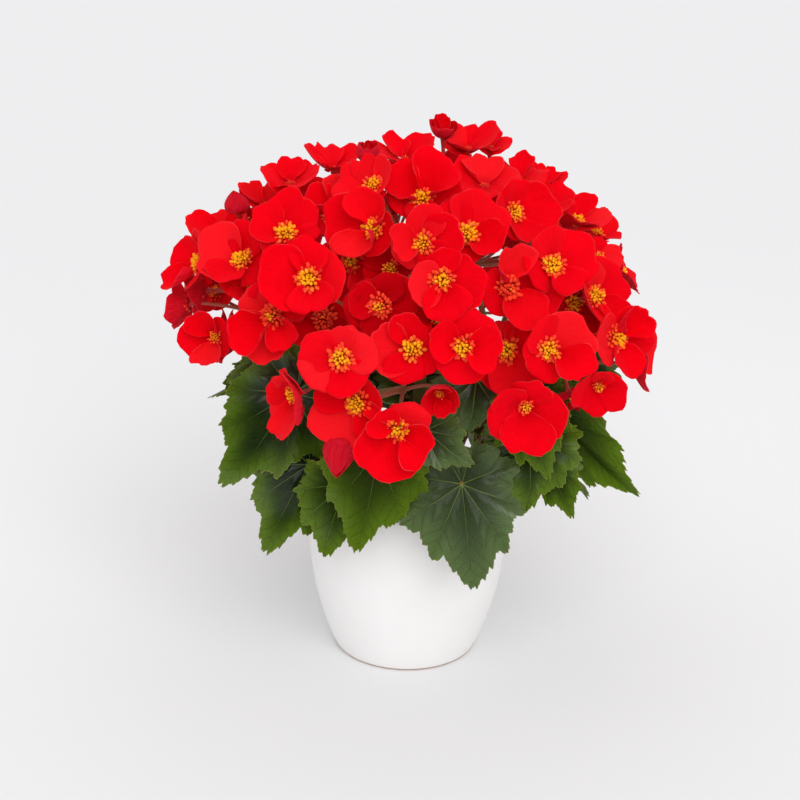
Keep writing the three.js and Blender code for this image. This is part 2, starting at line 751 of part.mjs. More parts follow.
function growerPotSolid() {
  const top = GROWER_BASE_Z + GROWER_HEIGHT;
  const rimFoot = top - GROWER_RIM_HEIGHT;
  const floorTop = GROWER_BASE_Z + GROWER_WALL;
  const profile = [
    [0, GROWER_BASE_Z],
    [GROWER_BASE_RADIUS, GROWER_BASE_Z],
    [growerRadius(rimFoot), rimFoot],
    [GROWER_RIM_RADIUS, rimFoot],
    [GROWER_RIM_RADIUS + GROWER_RIM_FLARE, top],
    [growerRadius(top) - GROWER_WALL, top],
    [growerRadius(floorTop) - GROWER_WALL, floorTop],
    [0, floorTop],
  ];
  const holes = [];
  for (let i = 0; i < DRAIN_COUNT; i += 1) {
    const angle = (2 * Math.PI * i) / DRAIN_COUNT;
    const x = DRAIN_CIRCLE * Math.cos(angle);
    const y = DRAIN_CIRCLE * Math.sin(angle);
    const hole = new THREE.CylinderGeometry(DRAIN_RADIUS, DRAIN_RADIUS, DRAIN_DEPTH, DRAIN_SIDES);
    hole.rotateX(Math.PI / 2);
    hole.translate(x, y, GROWER_BASE_Z);
    holes.push(solid(hole));
  }
  return solid(turned(profile, GROWER_SIDES)).subtract(join(holes));
}

function soilSolid(stems) {
  const bottom = GROWER_BASE_Z + GROWER_WALL + GAP;
  const edge = SOIL_TOP_Z - SOIL_EDGE;
  const profile = [
    [0, bottom],
    [growerRadius(bottom) - GROWER_WALL - GAP, bottom],
    [growerRadius(edge) - GROWER_WALL - GAP, edge],
    [growerRadius(SOIL_TOP_Z) * SOIL_SHOULDER, SOIL_TOP_Z + SOIL_MOUND / 2],
    [0, SOIL_TOP_Z + SOIL_MOUND],
  ];
  return solid(turned(profile, SOIL_SIDES)).subtract(stems);
}

// ---------------------------------------------------------------- assembly

const group = new THREE.Group();

function addPiece(name, whole, material) {
  const mesh = new THREE.Mesh(geometryOf(largestBody(whole)), material());
  mesh.name = name;
  group.add(mesh);
}

function twoDigits(number) {
  return String(number).padStart(2, '0');
}

const stemsGrown = join(stemCurves.map((curve) => stemSolid(curve, GAP)));

addPiece('cachepot', cachepotSolid(), whiteGlaze);
addPiece('grower_pot', growerPotSolid(), blackPlastic);
addPiece('potting_soil', soilSolid(stemsGrown), darkPeat);
stemCurves.forEach((curve, k) => addPiece(`stem_${k + 1}`, stemSolid(curve, 0), fleshyStem));

const blooms = placeBlooms();
const clusters = HUBS.map((hub) => ({ hub, blooms: [] }));
blooms.forEach((bloom) => clusters[nearestHub(bloom)].blooms.push(bloom));
clusters.forEach((cluster) => {
  cluster.stalkGrown = stalkSolid(cluster.hub, cluster.blooms, GAP);
});

// Each cluster gives way to the stems, to the stalks of all other clusters and to the cups of
// the clusters before it
let cupsBefore = null;
clusters.forEach((cluster, k) => {
  const otherStalks = join(clusters.filter((other) => other !== cluster).map((c) => c.stalkGrown));
  let cups = join(cluster.blooms.map((bloom) => cupSolid(bloom, 0))).subtract(otherStalks);
  if (cupsBefore) {
    cups = cups.subtract(cupsBefore);
  }
  const earlier = clusters.slice(0, k).map((c) => c.stalkGrown);
  let stalk = stalkSolid(cluster.hub, cluster.blooms, 0).subtract(stemsGrown);
  if (earlier.length > 0) {
    stalk = stalk.subtract(join(earlier));
  }
  addPiece(`bloom_cluster_${twoDigits(k + 1)}`, stalk.add(cups), scarletPetal);
  const cupsGrown = join(cluster.blooms.map((bloom) => cupSolid(bloom, GAP)));
  cupsBefore = cupsBefore ? cupsBefore.add(cupsGrown) : cupsGrown;
});

// Each leaf gives way to the stems and flowers and to the leaves before it
const leaves = placeLeaves();
rootLeaves(leaves);
const petiolesGrown = leaves.map((leaf) => petioleSolid(leaf, GAP));
let taken = join([stemsGrown, cupsBefore, ...clusters.map((cluster) => cluster.stalkGrown)]);
leaves.forEach((leaf, k) => {
  const others = join(petiolesGrown.filter((_, other) => other !== k));
  const blade = bladeSolid(leaf, 0).subtract(others).subtract(taken);
  const whole = petioleSolid(leaf, 0).subtract(taken).add(blade);
  addPiece(`leaf_${twoDigits(k + 1)}`, whole, greenLeaf);
  taken = taken.add(bladeSolid(leaf, GAP)).add(petiolesGrown[k]);
});

export default group;
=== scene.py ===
"""Potted begonia: scarlet flowers, lobed leaves, fleshy stems, soil, growing pot and cachepot."""

import math

import bmesh
import bpy
import numpy as np
from mathutils import Matrix, Vector


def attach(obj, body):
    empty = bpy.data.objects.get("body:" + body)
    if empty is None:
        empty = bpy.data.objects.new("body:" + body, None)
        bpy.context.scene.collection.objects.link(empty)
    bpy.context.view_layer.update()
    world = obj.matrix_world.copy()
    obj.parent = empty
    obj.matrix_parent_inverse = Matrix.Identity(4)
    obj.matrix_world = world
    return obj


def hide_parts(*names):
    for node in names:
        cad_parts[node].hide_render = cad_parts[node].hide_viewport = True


bl_info = {
    "name": "Potted Begonia",
    "version": (1, 0, 0),
    "blender": (4, 5, 0),
    "location": "3D View > Sidebar > Begonia",
    "description": "Builds a potted begonia in flower, piece by piece",
    "category": "Add Mesh",
}

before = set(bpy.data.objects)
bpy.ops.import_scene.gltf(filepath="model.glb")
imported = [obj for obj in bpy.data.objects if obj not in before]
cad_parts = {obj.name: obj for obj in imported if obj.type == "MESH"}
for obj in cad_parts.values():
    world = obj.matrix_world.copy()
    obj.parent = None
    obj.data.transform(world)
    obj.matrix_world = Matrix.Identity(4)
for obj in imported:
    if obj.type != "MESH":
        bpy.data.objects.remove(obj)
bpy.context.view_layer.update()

MM = 0.001  # the layout below is in millimetres, meshes are in metres
PHASES = (0, 6.28)  # a wave starts anywhere between these
# Seeds of random values; the number of the flower or leaf is added to the first four
FLOWER_SEED, STAMEN_SEED, LEAF_SEED, PULL_SEED, SOIL_SEED = 1000, 2000, 3000, 4000, 7

# ------------------------------------------------------------------ layout of the plant

SOIL_TOP_Z = 103.0
STEM_DEPTH = 16.0  # how far the stems are set into the soil
STEM_NECK = 12.0
STEM_NECK_SPREAD = 1.1
STEM_BOW_SHARE = 0.62
STEM_RADIUS = 4.6
STEM_SIDES = 20
STEM_POINTS = 60
STEM_TAPER = (1.06, 0.22)  # thickness at the foot, and how much less at the tip
STEM_END = (0.92, 0.75, 0.4)  # rounds off the last three points
STEM_KNOTS = 7
KNOT_SWELL = 0.13
KNOT_SHARPNESS = 14
# foot (x, y), tip (x, y, z), sideways bow (x, y)
STEMS = [
    (1, 2, 6, 4, 262, 1.5, -1.5),
    (-13, -11, -58, -44, 212, -5, -3),
    (13, -12, 60, -46, 214, 4, -4),
    (-13, 13, -56, 50, 212, -4, 4),
    (14, 13, 60, 48, 212, 5, 3),
]
STALK_SIDES = 10
PEDUNCLE_RADIUS = 2.1
PEDUNCLE_RISE = 10.0
PEDUNCLE_STEPS = 14
PEDUNCLE_TAPER = (1.12, 0.2)
PEDUNCLE_END = np.array([1.25, 1.55, 0.7])  # a knob, from which the flowers' own stalks spread
PEDUNCLE_BEYOND = 0.35  # of a step
PEDUNCLE_BLUSH = 0.45
PEDICEL_RADIUS = 1.25
PEDICEL_BOW = 0.4
PEDICEL_STEPS = 12
PEDICEL_FLARE = (1.25, 0.4, 1.9)  # thickness at its ends, how much less half way, at the flower
FLOWER_FOOT = (0.5, 1.2), (2.9, 1.6)  # rises over the flower's heart, and thickness there
PETIOLE_RADIUS = 1.9
PETIOLE_STEPS = 16
PETIOLE_LOWEST = 0.4
PETIOLE_HIGHEST = 0.66
PETIOLE_BOW_SHARE = 0.62
PETIOLE_RISE = 8.0
LENGTH_DROOP = 1.2
MIDDLE_RISE = 0.3

DOME_CENTRE = np.array([6.0, -4.0, 222.0])
DOME_RADII = np.array([148.0, 138.0, 142.0])
SIGHT_DISTANCE = 1600.0
SIGHT_ELEVATION = 23.0
SIGHT_ROLL = math.radians(1.6)
SIGHT_CENTRE = np.array([-8.1, 0.0, 187.4])
SIGHT_OFFSET = 3.5

# Blooms of the show side: across, up, rim radius, turn, tilt, cup, roll, set back
BLOOMS = [
    (-67, 84, 26.5, -5, 28, 0.34, 10, 0),
    (-45, 29, 24.5, -2, 23, 0.32, 30, 0),
    (41, 37, 23, -5, 20, 0.32, 80, 0),
    (26, 84, 23, 0, 24, 0.34, 5, 0),
    (-5, -20, 24.5, 0, 6, 0.36, 60, 0),
    (84, -4, 24.5, 3, -6, 0.36, 0, 0),
    (100, 35, 23.5, 20, 22, 0.4, 40, 0),
    (103, 94, 24, 20, 34, 0.4, 20, 0),
    (5, 35, 22.5, -3, 24, 0.34, 0, 2),
    (12, 109, 23, 0, 26, 0.34, 30, 4),
    (-113, 96, 24, -32, 46, 0.46, 0, 0),
    (-83, 115, 23.5, -8, 50, 0.36, 80, 0),
    (-132, 44, 18.5, -28, 12, 0.7, 20, 0),
    (146, 44, 25, 38, 12, 0.46, 0, 0),
    (131, 72, 24, 48, 24, 0.55, 30, 2),
    (-32, -2, 24, -20, 8, 0.38, 50, 6),
    (135, 11, 18, 12, -14, 0.6, 0, 6),
    (-92, 59, 26, -16, 12, 0.34, 60, 6),
    (71, 78, 26.5, 22, 28, 0.36, 0, 6),
    (70, 35, 26.5, 5, 18, 0.36, 20, 6),
    (43, 115, 26, 8, 38, 0.34, 50, 8),
    (12, 139, 25, -8, 46, 0.34, 0, 6),
    (-21, 119, 23, -34, 26, 0.42, 0, 8),
    (-22, 149, 20.5, -40, 44, 0.58, 30, 6),
    (75, 131, 23, 42, 26, 0.62, 0, 4),
    (-76, 4, 19, -50, 0, 0.9, 20, 4),
    (-143, 95, 22, -72, 24, 0.56, 0, 0),
    (134, 98, 16, 30, 46, 0.6, 0, 4),
    (-39, 97, 23, 24, 18, 0.4, 20, 12),
    (-17, 66, 24, -4, 22, 0.3, 10, 18),
    (24, 5, 15.5, 5, -5, 0.95, 0, 8),
    (-45, -27, 12.5, -8, -48, 1.8, 0, 10),
    (-57, 57, 23, -5, 32, 0.34, 30, 16),
    (-50, 127, 23, -5, 62, 0.46, 0, 10),
    (-139, 76, 17, -96, -12, 0.7, 0, 12),
    (158, 26, 20, 78, 6, 0.6, 20, 8),
    (-150, 68, 17, -104, -8, 0.7, 0, 14),
    (114, 6, 17, 10, -48, 0.6, 0, 18),
    (-128, 114, 20, -45, 74, 0.7, 0, 10),
    (-80, 151, 19.5, -22, 84, 0.8, 0, 0),
    (-50, 161, 19, -10, 88, 0.8, 30, 8),
    (-26, 168, 12, 0, 82, 1.05, 0, 0),
    (-117, 132, 10, -30, 75, 1.4, 0, 4),
    (0, 168, 21, -5, 84, 0.7, 30, 6),
    (27, 184, 13.5, 10, 80, 0.95, 0, 18),
    (44, 175, 20, 10, 84, 0.75, 0, 4),
    (56, 149, 22, 8, 76, 0.6, 0, 10),
    (80, 153, 18.5, 22, 80, 0.75, 0, 6),
    (98, 134, 19, 30, 74, 0.7, 40, 10),
    (99, 150, 14, 44, 82, 0.8, 0, 12),
    (120, 124, 19, 52, 68, 0.7, 0, 12),
    (133, 115, 17, 62, 60, 0.7, 0, 14),
    (-72, 138, 20, -14, 84, 0.7, 40, 14),
    (-98, 136, 17, -50, 80, 0.8, 0, 14),
    (60, 176, 15, 60, 84, 0.8, 0, 14),
    (118, 68, 20.5, 16, 20, 0.4, 0, 20),
    (-104, 76, 19, -25, 60, 0.8, 0, 22),
    (22, 57, 18, 5, 30, 0.42, 20, 36),
    (-10, 91, 17, -5, 36, 0.42, 60, 26),
    (-132, 74, 17, -30, 40, 0.5, 0, 34),
    (127, 48, 16, 20, 20, 0.45, 0, 34),
    (-112, 124, 15, -30, 60, 0.6, 0, 24),
]
# Rows of blooms round the far side: elevation, how many, first and last turn
FAR_ROWS = [(72, 4, 120, 240), (50, 8, 106, 256), (26, 11, 96, 265), (3, 12, 102, 260)]
FAR_RADIUS = 22
FAR_CUP = 0.5
FAR_TILT = 14
FAR_TILT_SHARE = 0.62  # of the row's elevation
FAR_ROLL_STEP = 47
FAR_SEED = 100
# How a far bloom strays from its row's values: by how much, how fast from one to the next, start
FAR_STRAYS = {
    "turn": (4, 3.7, 0),
    "rise": (4, 2.3, 1),
    "radius": (2.5, 5.1, 0),
    "aside": (10, 1.9, 0),
    "cup": (0.14, 2.9, 0),
}
BLOOM_CLEARANCE = 3.0
BLOOM_STEP = 1.5
BLOOM_STEPS = 40
CUP_POWER = 1.8
# Rings of a plain cup: points, share of the radius, shift in steps
CUP_RINGS = [(16, 1.0, 0.0), (16, 0.75, 0.5), (10, 0.45, 0.5)]

# Leaves of the show side: base (across, up, y), tip (across, up, y), width, roll, droop
LEAVES = [
    ((40, -60, -100), (47, -134, -114), 78, 0, 8),
    ((-18, -36, -100), (-34, -104, -104), 72, 0, 8),
    ((-42, -60, -84), (-57, -110, -92), 60, 0, 6),
    ((-68, -46, -70), (-98, -105, -80), 66, 0, 6),
    ((-78, 4, -64), (-128, -60, -74), 76, 0, 8),
    ((-78, 36, -36), (-124, 13, -40), 52, 20, 5),
    ((-92, 28, 4), (-137, -1, 10), 44, -70, 4),
    ((14, -22, -114), (47, -45, -126), 40, 10, 5),
    ((50, 14, -86), (44, -22, -94), 56, 0, 5),
    ((88, -28, -84), (84, -78, -96), 66, 0, 6),
    ((82, -8, -100), (101, -56, -108), 44, 0, 5),
    ((100, -42, -64), (118, -83, -70), 38, 0, 4),
    ((102, -8, -48), (163, -71, -40), 48, 25, 6),
    ((78, 16, -76), (117, -24, -80), 46, 0, 5),
    ((98, 18, -34), (120, -10, -40), 36, 0, 4),
    ((122, 26, 10), (156, 8, 14), 34, 0, 4),
    ((-118, 50, 30), (-156, 38, 34), 28, -80, 3),
]
# Other leaves: turn, base radius, base height, tip radius, tip height, width, droop
FAR_LEAVES = [
    (86, 78, 166, 130, 114, 68, 8),
    (108, 80, 184, 134, 132, 68, 8),
    (148, 80, 160, 124, 98, 76, 9),
    (176, 80, 180, 134, 122, 70, 8),
    (204, 82, 162, 128, 102, 74, 9),
    (250, 78, 184, 132, 134, 68, 8),
    (270, 78, 180, 124, 134, 62, 8),
]
CROWN_LEAVES = [
    (6, 22, 182, 72, 196, 46, 5),
    (96, 22, 186, 74, 198, 46, 5),
    (180, 22, 182, 74, 202, 46, 5),
    (264, 22, 186, 74, 198, 46, 5),
]
INNER_LEAVES = [
    (66, 58, 190, 104, 148, 58, 6),
    (122, 56, 192, 102, 150, 60, 6),
    (162, 56, 192, 102, 148, 60, 6),
    (214, 56, 192, 102, 150, 60, 6),
    (288, 58, 190, 104, 148, 58, 6),
]
FAR_LEAF_SKEW = 7.0
FAR_LEAF_TILT = 40.0
LEAF_ROUND = 1.16

# Joints of the flower stalks: turn, elevation, share of the dome, stem, share up the stem
HUBS = [
    (-8, 6, 0.6, 1, 0.86),
    (34, 4, 0.6, 2, 0.8),
    (74, 6, 0.6, 2, 0.92),
    (122, 6, 0.58, 4, 0.84),
    (168, 6, 0.58, 4, 0.74),
    (-148, 6, 0.58, 3, 0.8),
    (-106, 6, 0.58, 3, 0.9),
    (-56, 4, 0.6, 1, 0.76),
    (-30, 34, 0.6, 1, 0.97),
    (22, 34, 0.6, 2, 0.98),
    (70, 40, 0.58, 4, 0.97),
    (150, 40, 0.56, 4, 0.92),
    (-150, 40, 0.56, 3, 0.97),
    (-88, 38, 0.58, 3, 0.94),
    (-20, 68, 0.58, 0, 0.86),
    (50, 66, 0.58, 0, 0.95),
]


def unit(vector):
    return vector / np.linalg.norm(vector)


def facing(turn, tilt):
    """The direction at a turn from the show side and a tilt upwards, both in degrees."""
    a, e = math.radians(turn), math.radians(tilt)
    return np.array([math.sin(a) * math.cos(e), -math.cos(a) * math.cos(e), math.sin(e)])


SIGHT_BACK = facing(0, SIGHT_ELEVATION)
PLAIN_RIGHT = np.array([1.0, 0.0, 0.0])
PLAIN_UP = facing(180, 90 - SIGHT_ELEVATION)
SIGHT_RIGHT = PLAIN_RIGHT * math.cos(SIGHT_ROLL) + PLAIN_UP * math.sin(SIGHT_ROLL)
SIGHT_UP = PLAIN_UP * math.cos(SIGHT_ROLL) - PLAIN_RIGHT * math.sin(SIGHT_ROLL)
EYE = SIGHT_CENTRE + SIGHT_DISTANCE * SIGHT_BACK


def sight_line(across, up):
    return unit(SIGHT_CENTRE + (across + SIGHT_OFFSET) * SIGHT_RIGHT + up * SIGHT_UP - EYE)


def on_dome(direction):
    """Where a line of sight first meets the dome of flowers, or passes closest to it."""
    start = (EYE - DOME_CENTRE) / DOME_RADII
    along = direction / DOME_RADII
    a, b, c = along @ along, start @ along, start @ start - 1
    return EYE + direction * (-b - math.sqrt(max(b * b - a * c, 0))) / a


def at_depth(across, up, y):
    direction = sight_line(across, up)
    return EYE + direction * (y - EYE[1]) / direction[1]


def across_axis(axis):
    """Two directions square to an axis."""
    reference = np.array([0.0, 0.0, 1.0]) if abs(axis[2]) < 0.9 else np.array([0.0, 1.0, 0.0])
    u = unit(np.cross(reference, axis))
    return u, np.cross(axis, u)


def ring(angle, u, v):
    """Directions at angles in the plane of u and v."""
    return np.cos(angle)[..., None] * u + np.sin(angle)[..., None] * v


class Bloom:
    """One flower or bud: its heart, the way it faces and the size of its cup."""

    def __init__(self, face, radius, height, roll, seed):
        self.face = face
        self.radius = radius
        self.height = height
        self.roll = roll
        self.seed = seed
        self.across = across_axis(face)
        self.heart = None
        u, v = self.across
        offsets = [np.zeros(3)]
        for count, share, shift in CUP_RINGS:
            for i in range(count):
                angle = 2 * math.pi * (i + shift) / count
                reach = radius * share
                rise = height * share**CUP_POWER
                offsets.append(reach * (math.cos(angle) * u + math.sin(angle) * v) + rise * face)
        self.offsets = np.array(offsets)

    def points(self):
        return self.heart + self.offsets

    def clear_of(self, points):
        """True where every point that lies over the cup is clear of it, all on one side."""
        offset = points - self.heart
        rise = offset @ self.face
        reach = np.sqrt(np.maximum((offset * offset).sum(1) - rise * rise, 0))
        over = reach < self.radius + BLOOM_CLEARANCE / 2
        share = np.minimum(reach[over] / self.radius, 1)
        height = rise[over] - self.height * share**CUP_POWER
        return bool((height > BLOOM_CLEARANCE).all() or (height < -BLOOM_CLEARANCE).all())

    def clears(self, other):
        reach = self.radius + self.height + other.radius + other.height
        if np.linalg.norm(self.heart - other.heart) > reach:
            return True
        return other.clear_of(self.points()) and self.clear_of(other.points())


def settle(bloom, start, direction, placed):
    """Sets a bloom on the first clear place along a line that leads into the dome."""
    for step in range(BLOOM_STEPS):
        bloom.heart = start + direction * step * BLOOM_STEP
        if all(bloom.clears(other) for other in placed):
            placed.append(bloom)
            return


def far_stray(kind, number):
    amount, pace, start = FAR_STRAYS[kind]
    return amount * math.sin(pace * number + start)


def place_blooms():
    placed = []
    for seed, (across, up, radius, turn, tilt, cup, roll, back) in enumerate(BLOOMS):
        direction = sight_line(across, up)
        bloom = Bloom(facing(turn, tilt), radius, radius * cup, roll, seed)
        settle(bloom, on_dome(direction) + direction * back, direction, placed)
    number = 0
    for elevation, count, first, last in FAR_ROWS:
        for i in range(count):
            turn = first + (last - first) * i / (count - 1) + far_stray("turn", number)
            outward = facing(turn, elevation + far_stray("rise", number))
            radius = FAR_RADIUS + far_stray("radius", number)
            tilt = FAR_TILT + FAR_TILT_SHARE * elevation
            face = facing(turn + far_stray("aside", number), tilt)
            height = radius * (FAR_CUP + far_stray("cup", number))
            bloom = Bloom(face, radius, height, FAR_ROLL_STEP * number, FAR_SEED + number)
            settle(bloom, DOME_CENTRE + outward * DOME_RADII, -outward, placed)
            number += 1
    return placed


class Rise:
    """A smooth curve through given points, with steps eased by the distances between them."""

    def __init__(self, points):
        self.points = [np.array(p, float) for p in points]

    def at(self, share):
        pts = self.points
        place = (len(pts) - 1) * share
        k = min(int(place), len(pts) - 2)
        w = place - k
        before = pts[k - 1] if k > 0 else 2 * pts[0] - pts[1]
        after = pts[k + 2] if k + 2 < len(pts) else 2 * pts[-1] - pts[-2]
        a, b = pts[k], pts[k + 1]
        d0, d1, d2 = (math.sqrt(np.linalg.norm(gap)) for gap in (a - before, b - a, after - b))
        t1 = ((a - before) / d0 - (b - before) / (d0 + d1) + (b - a) / d1) * d1
        t2 = ((b - a) / d1 - (after - a) / (d1 + d2) + (after - b) / d2) * d1
        cubic = 2 * a - 2 * b + t1 + t2
        square = -3 * a + 3 * b - 2 * t1 - t2
        return a + t1 * w + square * w**2 + cubic * w**3


def stem_curve(row):
    foot_x, foot_y, tip_x, tip_y, tip_z, bow_x, bow_y = row
    foot = np.array([foot_x, foot_y, SOIL_TOP_Z - STEM_DEPTH], float)
    tip = np.array([tip_x, tip_y, tip_z], float)
    neck = (foot_x * STEM_NECK_SPREAD, foot_y * STEM_NECK_SPREAD, SOIL_TOP_Z + STEM_NECK)
    middle = foot + (tip - foot) * STEM_BOW_SHARE + np.array([bow_x, bow_y, 0.0])
    return Rise([foot, neck, middle, tip])


STEM_CURVES = [stem_curve(row) for row in STEMS]


def arch(start, bow, end, steps):
    """Points along a simple arch, and how far along it each lies."""
    t = np.linspace(0, 1, steps + 1)[:, None]
    return (1 - t) ** 2 * start + 2 * t * (1 - t) * bow + t**2 * end, t[:, 0]


class Leaf:
    """One leaf: where its stalk joins, the directions of its length and face, and its sizes."""

    def __init__(self, base, tip, towards, width, roll, droop, seed, fine):
        along = tip - base
        self.base = base
        self.length = np.linalg.norm(along)
        self.along = unit(along)
        face = unit(towards - (towards @ self.along) * self.along)
        turned = Matrix.Rotation(math.radians(roll), 3, Vector(self.along)) @ Vector(face)
        self.face = np.array(turned)
        self.side = np.cross(self.face, self.along)
        self.width = width
        self.droop = droop
        self.seed = seed
        self.fine = fine
        self.root = None

    def below(self, gap):
        """The point a gap below the blade's bent surface at the stalk's joint."""
        return self.base - self.face * (self.droop * (LENGTH_DROOP * 0.25 - MIDDLE_RISE) + gap)


def place_leaves():
    leaves = []
    for base, tip, width, roll, droop in LEAVES:
        ends = (at_depth(*base), at_depth(*tip))
        leaves.append(Leaf(*ends, SIGHT_BACK, width, roll, droop, len(leaves), True))
    rows = FAR_LEAVES + CROWN_LEAVES + INNER_LEAVES
    for turn, base_reach, base_z, tip_reach, tip_z, width, droop in rows:
        base = facing(turn, 0) * base_reach + np.array([0, 0, base_z])
        tip = facing(turn + FAR_LEAF_SKEW, 0) * tip_reach + np.array([0, 0, tip_z])
        towards = facing(turn, FAR_LEAF_TILT)
        leaves.append(Leaf(base, tip, towards, width, 0, droop, len(leaves), False))
    outer_stems = STEM_CURVES[1:]
    carried = [[] for _ in outer_stems]
    for leaf in leaves:
        far = [np.linalg.norm(curve.at(0.5) - leaf.base) for curve in outer_stems]
        carried[int(np.argmin(far))].append(leaf)
    for curve, group in zip(outer_stems, carried):
        group.sort(key=lambda leaf: leaf.base[2])
        for k, leaf in enumerate(group):
            share = k / (len(group) - 1) if len(group) > 1 else 0
            leaf.root = curve.at(PETIOLE_LOWEST + (PETIOLE_HIGHEST - PETIOLE_LOWEST) * share)
    return leaves


def gather_clusters():
    """Where the flower stalks branch, and the blooms that each carries."""
    places = np.array([DOME_CENTRE + facing(hub[0], hub[1]) * DOME_RADII * hub[2] for hub in HUBS])
    clusters = [[] for _ in HUBS]
    for bloom in place_blooms():
        far = np.linalg.norm(places - bloom.heart, axis=1)
        clusters[int(np.argmin(far))].append(bloom)
    return places, clusters


HUB_PLACES, CLUSTERS = gather_clusters()
PLACED_LEAVES = place_leaves()

# ------------------------------------------------------------------ mesh helpers


def add_object(name, data):
    piece = bpy.data.objects.new(name, data)
    bpy.context.scene.collection.objects.link(piece)
    return piece


def valued_mesh(name, points, edges=(), faces=(), **values):
    """A mesh from points in millimetres, with named values or directions on its points."""
    mesh = bpy.data.meshes.new(name)
    mesh.from_pydata((np.asarray(points) * MM).tolist(), edges, faces)
    for key, column in values.items():
        column = np.asarray(column, np.float32)
        kind, field = ("FLOAT", "value") if column.ndim == 1 else ("FLOAT_VECTOR", "vector")
        mesh.attributes.new(key, kind, "POINT").data.foreach_set(field, column.ravel())
    return mesh


def solid_piece(name, points, faces, material, **values):
    """A smooth object with closed faces and a material."""
    mesh = valued_mesh(name, points, (), faces, **values)
    mesh.polygons.foreach_set("use_smooth", [True] * len(mesh.polygons))
    mesh.materials.append(material)
    mesh.validate()
    return add_object(name, mesh)


def finish_piece(piece, slot, *nodes):
    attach(piece, "root")
    if nodes:
        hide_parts(*nodes)


def make_plain(piece):
    """Turns a piece with its modifiers into a plain mesh."""
    graph = bpy.context.evaluated_depsgraph_get()
    mesh = bpy.data.meshes.new_from_object(piece.evaluated_get(graph))
    piece.modifiers.clear()
    old, piece.data = piece.data, mesh
    bpy.data.meshes.remove(old)
    mesh.name = piece.name


class Heap:
    """Closed shells gathered into one mesh."""

    def __init__(self, *names):
        self.points = []
        self.faces = []
        self.values = {name: [] for name in names}
        self.count = 0

    def add(self, points, faces, **values):
        self.points.append(points)
        self.faces.extend((np.asarray(face) + self.count).tolist() for face in faces)
        for name, column in self.values.items():
            column.append(np.broadcast_to(values.get(name, 0.0), len(points)))
        self.count += len(points)

    def piece(self, name, material):
        """One object from all shells, every face turned outwards."""
        values = {key: np.concatenate(column) for key, column in self.values.items()}
        piece = solid_piece(name, np.concatenate(self.points), self.faces, material, **values)
        shells = bmesh.new()
        shells.from_mesh(piece.data)
        bmesh.ops.recalc_face_normals(shells, faces=shells.faces)
        shells.to_mesh(piece.data)
        shells.free()
        return piece


def grid_normals(sheet, wrap):
    rows = np.gradient(sheet, axis=0)
    if wrap:
        columns = (np.roll(sheet, -1, 1) - np.roll(sheet, 1, 1)) / 2
    else:
        columns = np.gradient(sheet, axis=1)
    normals = np.cross(rows, columns)
    return normals / np.maximum(np.linalg.norm(normals, axis=2, keepdims=True), 1e-9)


def open_sheet_faces(rows, columns):
    """Faces of a closed thin shell over a grid: front, back and the four edges."""
    index = np.arange(rows * columns).reshape(rows, columns)
    back = index + rows * columns
    corner = [index[:-1, :-1], index[1:, :-1], index[1:, 1:], index[:-1, 1:]]
    front_quads = np.stack([c.ravel() for c in corner], 1)
    back_quads = front_quads[:, ::-1] + rows * columns

    def border(grid):
        return np.concatenate([grid[0, :-1], grid[:-1, -1], grid[-1, :0:-1], grid[:0:-1, 0]])

    rim, rim_back = border(index), border(back)
    after, after_back = np.roll(rim, -1), np.roll(rim_back, -1)
    edge_quads = np.stack([rim, after, after_back, rim_back], 1)
    return np.concatenate([front_quads, back_quads, edge_quads])


def round_sheet_faces(rings, columns):
    """Faces of a closed thin shell whose rings run right round a middle point."""
    index = 1 + np.arange(rings * columns).reshape(rings, columns)
    after = np.roll(index, -1, 1)
    quads = np.stack([index[:-1], index[1:], after[1:], after[:-1]], -1).reshape(-1, 4)
    fan = np.stack([np.zeros(columns, int), index[0], after[0]], 1)
    layer = 1 + rings * columns
    rim = np.stack([index[-1], index[-1] + layer, after[-1] + layer, after[-1]], 1)
    quads = np.concatenate([quads, quads[:, ::-1] + layer, rim])
    return list(quads) + list(fan) + list(fan[:, ::-1] + layer)


def tube_faces(rings, sides, first, low, high):
    """Faces of a closed tube: its rings start at one point's number, its ends are two others."""
    index = first + np.arange(rings * sides).reshape(rings, sides)
    after = np.roll(index, -1, 1)
    quads = np.stack([index[:-1], after[:-1], after[1:], index[1:]], -1).reshape(-1, 4)
    start = [(low, b, a) for a, b in zip(index[0], after[0])]
    end = [(high, a, b) for a, b in zip(index[-1], after[-1])]
    return list(quads) + start + end


def circle_angles(sides):
    return np.arange(sides) * 2 * math.pi / sides


def sweep(path, radii, sides):
    """Points and faces of a closed tube along a path."""
    path = np.asarray(path)
    tangents = np.gradient(path, axis=0)
    tangents /= np.linalg.norm(tangents, axis=1, keepdims=True)
    u, _ = across_axis(tangents[0])
    rings = []
    for place, tangent, radius in zip(path, tangents, radii):
        u = unit(u - (u @ tangent) * tangent)
        rings.append(place + radius * ring(circle_angles(sides), u, np.cross(tangent, u)))
    points = np.concatenate([*rings, path[:1], path[-1:]])
    last = len(path) * sides
    return points, tube_faces(len(path), sides, 0, last, last + 1)


def lathe(profile, sides):
    """Points and faces of a closed turned body; the profile starts and ends on the axis."""
    profile = np.asarray(profile, float)
    middle = profile[1:-1]
    angle = circle_angles(sides)
    circle = np.stack([np.cos(angle), np.sin(angle)], 1)
    body = [np.column_stack([circle * r, np.full(sides, z)]) for r, z in middle]
    points = np.concatenate([*body, [[0, 0, profile[0][1]], [0, 0, profile[-1][1]]]])
    last = len(middle) * sides
    return points, tube_faces(len(middle), sides, 0, last, last + 1)


def rounded(profile, steps):
    """A profile's corners drawn through by a smooth curve."""
    curve = Rise([(r, 0, z) for r, z in profile])
    shares = np.linspace(0, 1, (len(profile) - 1) * steps + 1)
    return [(p[0], p[2]) for p in (curve.at(min(s, 1 - 1e-9)) for s in shares)]


# ------------------------------------------------------------------ node trees


